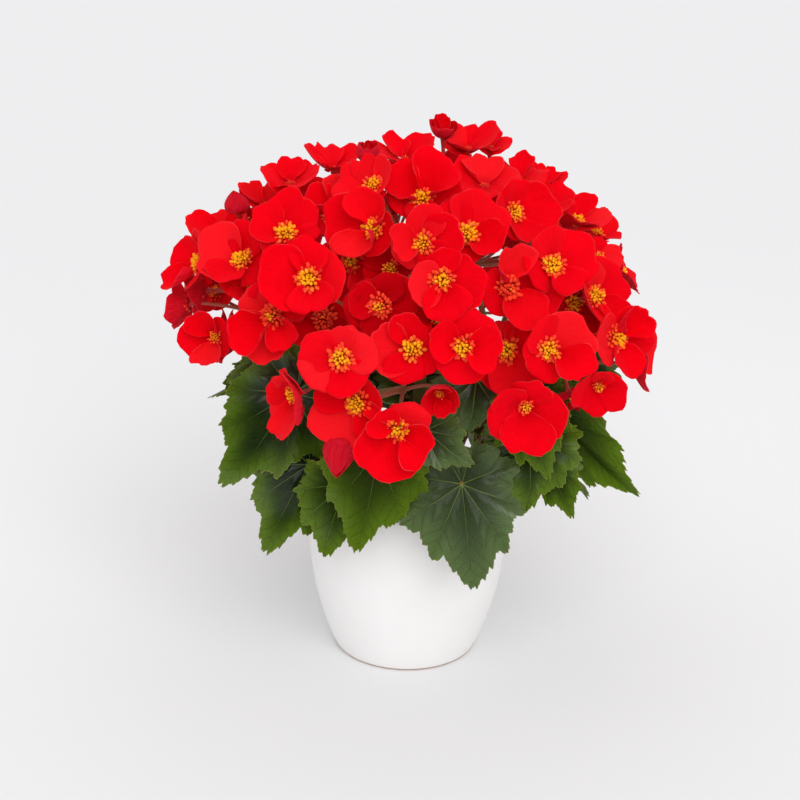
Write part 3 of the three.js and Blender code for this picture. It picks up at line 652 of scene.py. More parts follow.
class Amount:
    """A number in a material, on which sums are written as plain Python."""

    def __init__(self, finish, socket):
        self.finish = finish
        self.socket = socket

    def __add__(self, other):
        return self.finish.math("ADD", self, other)

    def __mul__(self, other):
        return self.finish.math("MULTIPLY", self, other)

    __radd__, __rmul__ = __add__, __mul__

    def __sub__(self, other):
        return self.finish.math("SUBTRACT", self, other)

    def __rsub__(self, other):
        return self.finish.math("SUBTRACT", other, self)

    def __truediv__(self, other):
        return self.finish.math("DIVIDE", self, other)

    def __abs__(self):
        return self.finish.math("ABSOLUTE", self)

    def part(self):
        return self.finish.math("FRACT", self)

    def most(self, other):
        return self.finish.math("MAXIMUM", self, other)

    def between(self, low, high):
        """0 below low, 1 above high, and smooth in between."""
        settings = {"interpolation_type": "SMOOTHSTEP"}
        node = self.finish.node("ShaderNodeMapRange", settings, (self, low, high, 0.0, 1.0))
        return Amount(self.finish, node.outputs[0])


class Graph:
    """A node tree, to which every node is added in one way."""

    def __init__(self, tree):
        self.tree = tree

    def node(self, kind, settings=None, inputs=(), **named):
        """A node of a kind, with its settings made first and then its sockets' values or links."""
        node = self.tree.nodes.new(kind)
        for key, value in (settings or {}).items():
            if key == "stops":
                for stop, (place, colour) in zip(node.color_ramp.elements, value):
                    stop.position, stop.color = place, (*colour, 1.0)
            else:
                setattr(node, key, value)
        given = dict(inputs) if isinstance(inputs, dict) else dict(enumerate(inputs))
        given.update((key.replace("_", " "), value) for key, value in named.items())
        for key, value in given.items():
            for source in value if isinstance(value, list) else [value]:
                if isinstance(source, Amount):
                    source = source.socket
                if isinstance(source, bpy.types.Node):
                    source = source.outputs[0]
                if isinstance(source, bpy.types.NodeSocket):
                    self.tree.links.new(source, node.inputs[key])
                else:
                    node.inputs[key].default_value = source
        return node


class Finish(Graph):
    """One material and the nodes that it is made of."""

    def __init__(self, name, **constants):
        self.material = bpy.data.materials.new(name)
        self.material.use_nodes = True
        super().__init__(self.material.node_tree)
        self.shader = self.tree.nodes["Principled BSDF"]
        for key, value in constants.items():
            self.shader.inputs[key.replace("_", " ")].default_value = value
        self.place = self.node("ShaderNodeTexCoord").outputs["Object"]

    def math(self, operation, *amounts):
        node = self.node("ShaderNodeMath", {"operation": operation}, amounts)
        return Amount(self, node.outputs[0])

    def values(self, *names):
        """The numbers that a piece's points carry under these names."""
        nodes = [self.node("ShaderNodeAttribute", {"attribute_name": name}) for name in names]
        return [Amount(self, node.outputs["Fac"]) for node in nodes]

    def height(self):
        node = self.node("ShaderNodeSeparateXYZ", None, (self.place,))
        return Amount(self, node.outputs["Z"])

    def away(self):
        """Distance from the object's origin, in metres."""
        node = self.node("ShaderNodeVectorMath", {"operation": "LENGTH"}, (self.place,))
        return Amount(self, node.outputs["Value"])

    def noise(self, scale, detail=3.0, rough=0.55, where=None):
        where = where or self.place
        inputs = {"Vector": where, "Scale": scale, "Detail": detail, "Roughness": rough}
        return Amount(self, self.node("ShaderNodeTexNoise", None, inputs).outputs["Fac"])

    def cells(self, scale, feature="DISTANCE_TO_EDGE"):
        inputs = {"Vector": self.place, "Scale": scale}
        node = self.node("ShaderNodeTexVoronoi", {"feature": feature}, inputs)
        return Amount(self, node.outputs["Distance"])

    def layers(self, colour, *layers):
        """A colour under further colours, each laid on as far as its mask says."""
        settings = {"data_type": "RGBA", "clamp_factor": True}
        for mask, top in layers:
            below, above = ((*c, 1.0) if isinstance(c, tuple) else c for c in (colour, top))
            node = self.node("ShaderNodeMix", settings, {0: mask, 6: below, 7: above})
            colour = node.outputs[2]
        return colour

    def done(self, colour, rough, bumps=None, depth=0.0, strength=0.0, coat=None):
        """Links the shader's colour, roughness, bumps and coat, and gives the material."""
        links = {"Base Color": colour, "Roughness": rough.socket}
        if bumps:
            inputs = {"Strength": strength, "Distance": depth, "Height": bumps}
            links["Normal"] = self.node("ShaderNodeBump", None, inputs).outputs[0]
        if coat:
            links["Coat Weight"] = coat.socket
        for key, socket in links.items():
            self.tree.links.new(socket, self.shader.inputs[key])
        return self.material


FLOOR_FAR_SHADE = 0.925  # painted shade: the floor's brightness far away


def colour_of(setting):
    return tuple(setting)[:3]


def petal_finish(options):
    """Velvety scarlet petals: faint radial streaks, paler backs, thin margins with a painted
    highlight, and painted shade deep in the cup and on flowers set far back.
    """
    made = Finish(
        "scarlet_petal",
        Subsurface_Weight=0.22,
        Subsurface_Radius=(1.0, 0.03, 0.03),
        Subsurface_Scale=0.003,
        Specular_IOR_Level=0.05,
        Specular_Tint=(1.0, 0.25, 0.25, 1.0),
        Sheen_Weight=0.2,
        Sheen_Roughness=0.35,
        Sheen_Tint=(1.0, 0.08, 0.1, 1.0),
    )
    reach, spread, shade, back = made.values("reach", "spread", "shade", "back")
    across = spread * 5.0 + shade * 31.0

    def radial(scale, detail, rough, stretch, shift):
        place = made.node("ShaderNodeCombineXYZ", None, (across, reach * stretch, shade * shift))
        return made.noise(scale, detail, rough, place.outputs[0])

    streaks, fine = radial(4.0, 3.0, 0.6, 0.8, 9.0), radial(16.0, 2.0, 0.5, 0.7, 7.0)
    cloud = made.noise(70.0, 3.0, 0.5)
    front = made.layers(
        colour_of(options.petal_colour),
        (streaks.between(0.35, 0.7), (0.97, 0.0008, 0.008)),
        (cloud.between(0.3, 0.75) * 0.4, (0.72, 0.0001, 0.006)),
        (shade.between(0.55, 1.0) * 0.75, (1.0, 0.013, 0.02)),  # some petals are lighter
        ((1.0 - reach.between(0.1, 0.55)) * 0.6, (0.5, 0.0, 0.002)),  # painted shade deep in the cup, towards the heart
        ((1.0 - shade.between(-0.6, 0.0)) * 0.75, (0.4, 0.0, 0.003)),  # painted shade on flowers set far back in the dome
    )
    rear = made.layers((0.66, 0.004, 0.016), (streaks.between(0.3, 0.7), (0.82, 0.014, 0.035)))
    # painted highlight: patches of the thin margin painted lighter, where edges catch the light
    margin = reach.between(0.985, 1.0) * cloud.between(0.42, 0.62) * 0.4
    colour = made.layers(front, (back, rear), (margin, (1.0, 0.12, 0.11)))
    rough = 0.55 + streaks * 0.16 + back * 0.08
    return made.done(colour, rough, streaks * 0.6 + fine * 0.5 + cloud * 0.5, 0.0009, 0.8)


def stamen_finish(options):
    """Golden anthers on orange threads, coral red towards the outside of the boss, and redder still
    where painted shade lies on the boss.
    """
    made = Finish(
        "golden_stamen", Subsurface_Weight=0.3, Subsurface_Scale=0.0015, Specular_IOR_Level=0.2
    )
    gold, tip = made.values("gold", "tip")
    grain = made.noise(900.0, 2.0)
    head = made.layers(
        (0.95, 0.062, 0.022),
        (gold.between(0.1, 0.75), colour_of(options.stamen_colour)),
        (grain.between(0.45, 0.8) * gold * 0.4, (1.0, 0.62, 0.01)),
    )
    thread = made.layers((0.8, 0.012, 0.004), (gold, (0.95, 0.25, 0.008)))
    return made.done(made.layers(thread, (tip, head)), 0.5 + grain * 0.2, grain, 0.0002, 0.6)


def stalk_finish():
    """Fleshy stalks, green at the stem, salmon along the way and red near the flower."""
    made = Finish(
        "flower_stalk", Subsurface_Weight=0.1, Subsurface_Scale=0.002, Specular_IOR_Level=0.4
    )
    (blush,) = made.values("blush")
    mottle, streak = made.noise(260.0, 3.0), made.noise(90.0, 2.0)
    salmon = made.layers((0.3, 0.065, 0.03), (mottle, (0.5, 0.14, 0.075)))
    red = made.layers((0.4, 0.01, 0.014), (mottle, (0.58, 0.03, 0.03)))
    colour = made.layers(
        (0.13, 0.17, 0.035),
        (mottle, (0.3, 0.24, 0.07)),
        (blush.between(0.15, 0.6), salmon),
        (blush.between(0.75, 0.97), red),
    )
    return made.done(colour, 0.42 + streak * 0.2, mottle + streak, 0.0003, 0.5)


def stem_finish():
    """Stout stems: green, browning towards the soil, with fine pale pores."""
    made = Finish(
        "fleshy_stem", Subsurface_Weight=0.08, Subsurface_Scale=0.003, Specular_IOR_Level=0.4
    )
    mottle, pores = made.noise(140.0, 4.0), made.cells(900.0, "F1")
    brown = made.layers((0.12, 0.055, 0.022), (mottle, (0.28, 0.13, 0.06)))
    colour = made.layers(
        (0.1, 0.14, 0.03),
        (mottle, (0.24, 0.22, 0.06)),
        (1.0 - (made.height() + mottle * 0.03).between(0.13, 0.22), brown),
        ((1.0 - pores.between(0.12, 0.3)) * 0.4, (0.36, 0.27, 0.14)),
    )
    bumps = mottle * 0.6 - pores.between(0.1, 0.3) * 0.3
    return made.done(colour, 0.45 + mottle * 0.25, bumps, 0.0006, 0.6)


SIDE_VEIN_GAP = 9.0  # along a main vein, in millimetres
SIDE_VEIN_SLANT = 0.95


def leaf_finish(name, deep, mid, lit_outer_green):
    """Waxy leaves: fine pale veins in shallow valleys, a netted surface, a light toothed edge;
    painted light outwards, painted shade inwards, and a painted reflection on grey-green leaves.
    """
    made = Finish(
        name,
        Specular_IOR_Level=0.06,
        Coat_Roughness=0.26,
        Coat_IOR=1.45,
        Subsurface_Weight=0.1,
        Subsurface_Radius=(0.5, 1.0, 0.1),
        Subsurface_Scale=0.0015,
    )
    along, aside, rim, back, shade, stalk = made.values(
        "along_vein", "from_vein", "rim", "back", "shade", "stalk"
    )
    wide = (0.72 - along * 0.0075).most(0.22)
    main = 1.0 - (aside / wide).between(0.35, 1.15)
    steps = ((along - aside * SIDE_VEIN_SLANT) / SIDE_VEIN_GAP + shade * 3.0).part()
    side = 1.0 - (abs(steps - 0.5) * SIDE_VEIN_GAP).between(0.08, 0.5)
    side = side * (1.0 - rim.between(0.88, 0.99)) * along.between(3.0, 9.0)
    netting = 1.0 - made.cells(330.0).between(0.0, 0.1)
    cloud, grain, patch = made.noise(26.0, 4.0), made.noise(420.0, 3.0), made.noise(17.0, 2.0, 0.4)
    blade = made.layers(
        deep,
        (cloud.between(0.38, 0.68), mid),
        # painted light: the outer blade paler and yellower, where thin tissue lets light through
        (rim.between(0.5, 1.0) * (0.55 + patch * 0.6) * (1.0 - shade * 0.5), lit_outer_green),
        ((1.0 - shade.between(0.1, 0.45)) * 0.45, (0.085, 0.15, 0.004)),  # yellow-green leaves
        (shade.between(0.6, 1.0) * 0.65, (0.1, 0.15, 0.055)),  # painted reflection of the bright room on grey-green leaves
        # painted shade: darker towards the stalk's joint, where the leaves lie under the flowers
        ((1.0 - rim.between(0.2, 0.98)) * (0.45 + patch * 0.65), (0.004, 0.011, 0.001)),
        (netting * 0.07, (0.09, 0.15, 0.02)),
        (side * 0.22, (0.12, 0.19, 0.035)),
        (main * (0.7 - rim * 0.45), (0.17, 0.26, 0.045)),
    )
    under = made.layers(
        (0.09, 0.13, 0.045),
        (cloud, (0.13, 0.18, 0.07)),
        ((side * 0.35).most(main * 0.8), (0.3, 0.22, 0.1)),
    )
    edge = made.layers((0.2, 0.3, 0.03), (grain.between(0.4, 0.6), (0.36, 0.26, 0.07)))
    petiole = made.layers((0.12, 0.14, 0.03), (made.noise(180.0), (0.34, 0.12, 0.06)))
    edged = rim.between(0.982, 0.999) * 0.75
    colour = made.layers(blade, (back, under), (edged, edge), (stalk, petiole))
    gloss = patch.between(0.45, 0.65) * 0.7 + shade.between(0.4, 1.0) * 0.3
    pit = main.most(side * 0.8).most(netting * 0.2)
    return made.done(
        colour,
        0.4 + cloud * 0.18 + back * 0.2,
        (1.0 - pit) * (1.0 - stalk) + grain * 0.12,
        0.0012,
        0.85,
        gloss * (1.0 - back),
    )


def glaze_finish(options):
    """Satin white glaze, faintly uneven, with a thin bare line round the foot."""
    made = Finish("white_glaze", Coat_Roughness=0.18, Coat_Weight=0.15, Specular_IOR_Level=0.45)
    cloud, peel = made.noise(14.0, 3.0), made.noise(160.0, 2.0)
    foot = 1.0 - (made.height() + (peel - 0.5) * 0.0006).between(0.0009, 0.0018)
    specks = 1.0 - made.cells(420.0, "F1").between(0.03, 0.07)
    colour = made.layers(
        colour_of(options.glaze_colour),
        (cloud.between(0.3, 0.7) * 0.6, (0.9, 0.885, 0.865)),
        (specks * 0.25, (0.5, 0.4, 0.3)),
        (foot * 0.8, (0.5, 0.27, 0.15)),
    )
    return made.done(colour, 0.34 + cloud * 0.1 + foot * 0.3, peel * 0.5 + cloud, 0.0003, 0.35)


def plastic_finish(options):
    """Thin black moulded plastic, finely grained, dusted with soil near the rim."""
    made = Finish("black_plastic", Specular_IOR_Level=0.45)
    grain, cloud = made.noise(1200.0, 2.0), made.noise(60.0, 3.0)
    dust = cloud.between(0.5, 0.75) * made.height().between(0.09, 0.105)
    colour = made.layers(
        colour_of(options.plastic_colour),
        (grain, (0.017, 0.017, 0.018)),
        (dust * 0.6, (0.075, 0.048, 0.028)),
    )
    return made.done(colour, 0.42 + grain * 0.15 + dust * 0.3, grain, 0.0002, 0.5)


def peat_finish(options):
    """Dark moist peat with fibres, and pale grains where the pale value is set."""
    made = Finish("dark_peat", Specular_IOR_Level=0.2)
    (pale,) = made.values("pale")
    coarse, fibre = made.noise(130.0, 6.0, 0.7), made.noise(700.0, 3.0)
    chalk = made.layers((0.62, 0.6, 0.55), (fibre, (0.78, 0.76, 0.7)))
    colour = made.layers(
        (0.012, 0.007, 0.004),
        (coarse.between(0.3, 0.7), colour_of(options.soil_colour)),
        (fibre.between(0.55, 0.8) * 0.6, (0.11, 0.06, 0.03)),
        (pale, chalk),
    )
    return made.done(colour, 0.82 + coarse * 0.16, coarse + fibre * 0.5, 0.0014, 0.9)


def floor_finish(options):
    """Plain pale studio floor, with painted shade making it a little darker far away."""
    made = Finish("studio_floor", Specular_IOR_Level=0.15)
    cloud = made.noise(1.5, 2.0)
    near = colour_of(options.floor_colour)
    far = tuple(FLOOR_FAR_SHADE * channel for channel in near)
    colour = made.layers(near, (made.away().between(0.2, 1.1) * 0.9 + cloud * 0.1, far))
    return made.done(colour, 0.75 + cloud * 0.1)


class Tree(Graph):
    """A geometry-node tree with named inputs, run once on an object and made plain."""

    def __init__(self, name, **inputs):
        super().__init__(bpy.data.node_groups.new(name, "GeometryNodeTree"))
        face = self.tree.interface
        face.new_socket("Geometry", in_out="INPUT", socket_type="NodeSocketGeometry")
        self.sockets = {}
        for key, kind in {**inputs, "material": "Material"}.items():
            label = key.replace("_", " ").title()
            kind = "NodeSocket" + kind
            self.sockets[key] = face.new_socket(label, in_out="INPUT", socket_type=kind)
        face.new_socket("Geometry", in_out="OUTPUT", socket_type="NodeSocketGeometry")
        self.start = self.node("NodeGroupInput")

    def given(self, key):
        return self.start.outputs[self.sockets[key].name]

    def given_geometry(self):
        return self.start.outputs[0]

    def named(self, name, kind="FLOAT"):
        return self.node("GeometryNodeInputNamedAttribute", {"data_type": kind}, Name=name)

    def put(self, x, y, z):
        return self.node("ShaderNodeCombineXYZ", None, (x, y, z))

    def marked(self, geometry, name, value):
        named = {"Geometry": geometry, "Name": name, "Value": value}
        return self.node("GeometryNodeStoreNamedAttribute", None, named)

    def close(self, geometry):
        """Ends the tree in real geometry that carries the given material."""
        real = self.node("GeometryNodeRealizeInstances", Geometry=geometry)
        smooth = self.node("GeometryNodeSetShadeSmooth", Geometry=real)
        material = self.given("material")
        done = self.node("GeometryNodeSetMaterial", Geometry=smooth, Material=material)
        self.node("NodeGroupOutput", None, (done,))
        return self

    def run(self, piece, **values):
        """Runs the tree on a piece and leaves a plain mesh behind."""
        modifier = piece.modifiers.new(self.tree.name, "NODES")
        modifier.node_group = self.tree
        for key, value in values.items():
            modifier[self.sockets[key].identifier] = value
        make_plain(piece)


def sweep_tree():
    """Sweeps a round section along every line of a mesh, as thick as its points say."""
    tree = Tree("stalk_sweep", sides="Int")
    line = tree.node("GeometryNodeMeshToCurve", Mesh=tree.given_geometry())
    section = tree.node(
        "GeometryNodeCurvePrimitiveCircle", Resolution=tree.given("sides"), Radius=1.0
    )
    tube = tree.node(
        "GeometryNodeCurveToMesh",
        Curve=line,
        Profile_Curve=section,
        Scale=tree.named("thickness"),
        Fill_Caps=True,
    )
    return tree.close(tube)


def stamen_tree():
    """Stands one stamen, a thread with a club-shaped anther, on every point."""
    sizes = ("thread_length", "thread_radius", "anther_length", "anther_width")
    tree = Tree("stamen_boss", **dict.fromkeys(sizes, "Float"))
    length, radius, tall, wide = (tree.given(key) for key in sizes)
    thread = tree.node(
        "GeometryNodeMeshCone", Vertices=5, Radius_Top=radius, Radius_Bottom=radius, Depth=length
    )
    ball = tree.node("GeometryNodeMeshUVSphere", Segments=7, Rings=5, Radius=0.5)
    shape, place = tree.put(wide, wide, tall), tree.put(0.0, 0.0, length)
    anther = tree.node("GeometryNodeTransform", Geometry=ball, Scale=shape, Translation=place)
    parts = [tree.marked(thread, "tip", 0.0), tree.marked(anther, "tip", 1.0)]
    stamen = tree.node("GeometryNodeJoinGeometry", Geometry=parts)
    lean = tree.named("lean", "FLOAT_VECTOR")
    turn = tree.node("FunctionNodeAlignRotationToVector", {"axis": "Z"}, Vector=lean)
    placed = tree.node(
        "GeometryNodeInstanceOnPoints",
        Points=tree.given_geometry(),
        Instance=stamen,
        Rotation=turn,
        Scale=tree.named("size"),
    )
    return tree.close(placed)


def crumb_tree():
    """Strews crumbs over the faces that look up."""
    tree = Tree(
        "crumbs", density="Float", smallest="Float", largest="Float", pale="Float", seed="Int"
    )
    normal = tree.node("GeometryNodeInputNormal")
    upright = tree.node("ShaderNodeSeparateXYZ", None, (normal,)).outputs[2]
    upward = tree.node("ShaderNodeMath", {"operation": "GREATER_THAN"}, (upright, 0.5))
    seed = tree.given("seed")
    spots = tree.node(
        "GeometryNodeDistributePointsOnFaces",
        Mesh=tree.given_geometry(),
        Selection=upward,
        Density=tree.given("density"),
        Seed=seed,
    )
    crumb = tree.node("GeometryNodeMeshIcoSphere", Radius=1.0, Subdivisions=2)
    where = tree.node("GeometryNodeInputPosition")
    lump = tree.node("ShaderNodeTexNoise", Vector=where, Scale=1.3, Detail=2.0).outputs["Color"]
    offset = tree.node("ShaderNodeVectorMath", {"operation": "SUBTRACT"}, (lump, (0.5, 0.5, 0.5)))
    rough = tree.node("GeometryNodeSetPosition", Geometry=crumb, Offset=offset)
    size = tree.node(
        "FunctionNodeRandomValue",
        {"data_type": "FLOAT"},
        Min=tree.given("smallest"),
        Max=tree.given("largest"),
        Seed=seed,
    )
    turns = {0: (0.0, 0.0, 0.0), 1: (6.28, 6.28, 6.28), "Seed": 5}
    turn = tree.node("FunctionNodeRandomValue", {"data_type": "FLOAT_VECTOR"}, turns)
    placed = tree.node(
        "GeometryNodeInstanceOnPoints",
        Points=spots,
        Instance=tree.marked(rough, "pale", tree.given("pale")),
        Rotation=turn,
        Scale=size.outputs["Value"],
    )
    return tree.close(placed)


# ------------------------------------------------------------------ flowers

TEPAL_ROWS = 14
TEPAL_COLUMNS = 27
TEPAL_FACES = open_sheet_faces(TEPAL_ROWS, TEPAL_COLUMNS)
TEPAL_HALF = 0.26  # half a tepal's thickness at its foot
TEPAL_THINNING = 0.13  # how much less that is at its rim
TEPAL_NOTCHES = 3
# Ripples over a tepal: least and greatest share of the radius, power of the reach, pace
TEPAL_RIPPLES = [(0.015, 0.06, 2, 3.0), (0.015, 0.055, 4, 7.5), (0.0, 0.025, 6, 15.0)]
# The two outer tepals and the inner ones: half angle in degrees, and length
OUTER_TEPALS = ((74, 88), (0.95, 1.04))
INNER_TEPALS = ((50, 68), (0.84, 1.0))
BLOOM_SPREAD = 1.07  # tepals reach this much further than the plain cup
OPEN_CUP = 0.85  # flowers with a deeper cup are partly closed
CLOSING_SPAN = 0.4
BUD = 0.3  # flowers closed further than this show no stamens

# Flowers longer to one side: shares of the radius to the right and upwards, as the sight sees them
PULLS = {
    0: (-0.12, 0.0), 1: (-0.06, -0.04), 2: (0.12, -0.02), 3: (0.14, -0.14), 4: (0.0, -0.26),
    5: (0.06, -0.26), 6: (0.26, 0.05), 7: (0.2, 0.06), 8: (-0.15, 0.06), 9: (0.1, 0.12),
    10: (-0.24, 0.22), 11: (0.0, 0.26), 12: (-0.2, 0.0), 13: (0.14, -0.1), 15: (-0.24, -0.1),
    16: (0.0, -0.24), 17: (-0.1, -0.16), 18: (0.34, 0.0), 19: (0.1, -0.1), 20: (0.1, 0.16),
    21: (0.1, 0.28), 22: (-0.26, 0.1), 23: (-0.2, 0.1), 24: (0.2, 0.0), 25: (0.3, -0.12),
}
# Flowers whose stamens are painted redder towards the middle, as shade over bosses that lie in
# shade, and by how much
SHADED_RED_HEARTS = {3: 0.15, 17: 0.3, 18: 0.75, 21: 0.1, 28: 0.25, 29: 0.6, 32: 0.7, 33: 0.7}
# Flowers whose boss of stamens is smaller than the rest, and by what share
SMALL_BOSSES = {5: 0.62, 12: 0.8, 16: 0.75, 30: 0.7}
# Flowers whose tepals are larger than their plain cup, and by what share
LARGE_TEPALS = {25: 1.3}
SHADED_BACK = 16  # flowers set back this far, in millimetres, get painted shade, a deeper red
# Flowers on top of the dome: how far, in radii, their near tepals hang, and their young stamens,
# painted redder as shade among the petals
HANGING = 0.4
HANGING_BOSS = 0.42
HANGING_SHADE_RED = 0.7
HANGING_FACE = 0.93

STAMENS = 54  # in a flower of a plain radius
STAMENS_RADIUS = 24
STAMENS_LEAST, STAMENS_MOST = 16, 60
STAMEN_SIZE_RADIUS = 25
BOSS_REACH = math.radians(80)
BOSS_WIDTH = 0.9
BOSS_RISE = 0.6  # of the stamens' feet over the flower's heart
BOSS_STRAY = (-0.22, 0.22)  # how far the whole boss leans
STAMEN_STRAY = (-0.1, 0.1)  # and one stamen
STAMEN_SIZES = (0.72, 1.22)
GOLDEN_ANGLE = 2.39996
GOLD = 1.42  # a stamen's share of gold is about this less its tilt in radians
GOLD_STRAY = (-0.15, 0.15)
FLOWER_REDNESS = (0.0, 0.3)
THREAD_RADIUS = 0.00028


def closing(bloom):
    """How far a flower is still closed, from 0 for an open one to 1 for a bud."""
    return float(np.clip((bloom.height / bloom.radius - OPEN_CUP) / CLOSING_SPAN, 0, 1))


def on_show(bloom):
    return bloom.seed < len(BLOOMS)


def pull_of(bloom):
    """Which way, and by what share, a flower is longer to one side."""
    rng = np.random.default_rng(PULL_SEED + bloom.seed)
    right, up = PULLS.get(bloom.seed, rng.uniform(-0.1, 0.1, 2))
    return right * SIGHT_RIGHT + up * SIGHT_UP


def hangs(bloom):
    """True for the flowers on top of the dome, whose near tepals hang towards the show side."""
    return on_show(bloom) and bloom.face[2] > HANGING_FACE


def tepal_rim(t, rng):
    """How far a notched and wavy rim reaches, in shares, and the phases of the tepal's waves."""
    rim = 0.3 + 0.7 * (1 - np.abs(t) ** rng.uniform(1.9, 3.4)) ** rng.uniform(0.4, 0.58)
    for _ in range(TEPAL_NOTCHES):
        depth, middle = rng.uniform(0.0, 0.08), rng.uniform(-0.75, 0.75)
        rim = rim * (1 - depth * np.exp(-(((t - middle) / rng.uniform(0.06, 0.18)) ** 2)))
    phase = rng.uniform(*PHASES, 6)
    rim = rim * (1 + 0.038 * np.sin(4 * t + phase[0]) + 0.022 * np.sin(11 * t + phase[1]))
    return rim * (1 + 0.009 * np.sin(24 * t + phase[5])), phase


def tepal_sheet(bloom, rng, turn, half_angle, length, inner):
    """The middle surface of one tepal, in place, with its shares out from the heart and across."""
    shut = closing(bloom)
    radius = bloom.radius * LARGE_TEPALS.get(bloom.seed, 1.0)
    s = 0.05 + 0.95 * np.linspace(0, 1, TEPAL_ROWS)[:, None] ** 0.85
    t = np.sin(np.linspace(-0.5, 0.5, TEPAL_COLUMNS) * math.pi)[None, :]
    rim, phase = tepal_rim(t, rng)
    sweep_aside = rng.uniform(-0.16, 0.16) * np.sin(s * math.pi * 0.8)
    angle = turn + t * half_angle * (0.74 + 0.26 * s) + sweep_aside + 0.5 * shut * s
    flat = ring(angle, *bloom.across)
    share = s * rim * length * (1 + (1 - shut) * (flat @ pull_of(bloom)))
    shut_share = np.minimum(s * rim**0.35, 1)
    shut_reach = 0.92 * np.sin(shut_share**0.72 * math.pi) ** 0.75 * (1 - 0.25 * shut_share)
    reach = radius * ((1 - shut) * share * BLOOM_SPREAD + shut * shut_reach)
    shut_rise = 1.12 * shut_share**1.15
    z = bloom.height * ((1 - shut) * share**CUP_POWER + shut * shut_rise)
    ease = radius * (1 - 0.8 * shut)
    standing = inner > 0 and rng.uniform() < 0.3 and bloom.height < 0.5 * radius
    spoon = rng.uniform(0.02, 0.2) if inner else rng.uniform(-0.04, 0.08)
    z = z + ease * (spoon + 0.18 * standing) * t**2 * s**1.4
    z = z + ease * (np.clip(rng.normal(0.0, 0.07), -0.12, 0.14) + 0.2 * standing) * s**1.2
    z = z + ease * rng.uniform(-1.3, 0.7) * np.clip(s - 0.6, 0, 1) ** 2
    z = z + ease * rng.uniform(-0.5, 0.3) * np.clip(t * rng.choice([-1, 1]) - 0.2, 0, 1) ** 2 * s**2
    for k, (least, most, power, pace) in enumerate(TEPAL_RIPPLES):
        z = z + ease * rng.uniform(least, most) * s**power * np.sin(pace * t + phase[2 + k])
    z = z + inner * (0.45 + radius * 0.03 * s)
    if hangs(bloom):
        z = z - ease * HANGING * np.clip(flat @ SIGHT_BACK, 0, 1) * s**2
    sheet = bloom.heart + reach[..., None] * flat + z[..., None] * bloom.face
    return sheet, np.broadcast_to(s, z.shape), np.broadcast_to(t, z.shape)


def add_tepal(heap, bloom, rng, *shape):
    sheet, out, side = tepal_sheet(bloom, rng, *shape)
    normals = grid_normals(sheet, False)
    if normals[3, TEPAL_COLUMNS // 2] @ bloom.face < 0:
        normals = -normals
    half = normals * (TEPAL_HALF - TEPAL_THINNING * out)[..., None]
    # painted shade: flowers set far back get a shade value below 0, painted a deeper red
    deep = on_show(bloom) and BLOOMS[bloom.seed][7] >= SHADED_BACK
    heap.add(
        np.concatenate([(sheet + half).reshape(-1, 3), (sheet - half).reshape(-1, 3)]),
        TEPAL_FACES,
        reach=np.tile(out.ravel(), 2),
        spread=np.tile(side.ravel(), 2),
        back=np.repeat([0.0, 1.0], out.size),
        shade=rng.uniform(0, 1) - deep,
    )


def add_flower(heap, bloom):
    """Two very broad outer tepals and two or three inner ones that overlap them."""
    rng = np.random.default_rng(FLOWER_SEED + bloom.seed)
    inner = [0.36, 0.84, 1.5] if bloom.seed % 4 == 1 or closing(bloom) > BUD else [0.5, 1.5]
    for k, share in enumerate([0.0, 1.0, *inner]):
        turn = math.radians(bloom.roll) + math.pi * share + rng.uniform(-0.2, 0.2)
        half_angles, lengths = OUTER_TEPALS if k < 2 else INNER_TEPALS
        half_angle, length = rng.uniform(*half_angles), rng.uniform(*lengths)
        layer = 0 if k < 2 else 1 + 0.7 * (k - 2)
        add_tepal(heap, bloom, rng, turn, math.radians(half_angle), length, layer)


def stamen_points(bloom):
    """Feet, directions, sizes and shares of gold of one open flower's stamens."""
    shut = closing(bloom)
    rng = np.random.default_rng(STAMEN_SEED + bloom.seed)
    boss = SMALL_BOSSES.get(bloom.seed, HANGING_BOSS if hangs(bloom) else 1.0)
    count = STAMENS * boss * bloom.radius / STAMENS_RADIUS
    count = int(np.clip(count, STAMENS_LEAST, STAMENS_MOST))
    index = np.arange(count) + 0.5
    tilt = np.arccos(1 - index / count * (1 - math.cos(BOSS_REACH)))
    tilt = tilt * (1 - 0.4 * shut)
    turn = index * GOLDEN_ANGLE + rng.uniform(*PHASES)
    tilt = tilt + rng.uniform(*STAMEN_STRAY, count)
    u, v = bloom.across
    side = ring(turn, u, v)
    lean = np.cos(tilt)[:, None] * bloom.face + np.sin(tilt)[:, None] * side
    lean = lean + rng.uniform(*BOSS_STRAY) * u + rng.uniform(*BOSS_STRAY) * v
    spread = BOSS_WIDTH * boss * np.sin(tilt)
    feet = bloom.heart + BOSS_RISE * bloom.face + side * spread[:, None]
    size = boss * bloom.radius / STAMEN_SIZE_RADIUS * rng.uniform(*STAMEN_SIZES, count)
    size = size * (0.9 + 0.24 * tilt)
    # painted shade: bosses in shade and on hanging flowers are painted redder, with less gold
    red = SHADED_RED_HEARTS.get(bloom.seed, HANGING_SHADE_RED if hangs(bloom) else 0.0)
    redder = rng.uniform(*FLOWER_REDNESS) + red
    gold = np.clip(GOLD - redder - tilt + rng.uniform(*GOLD_STRAY, count), 0, 1)
    return feet, lean, size, gold


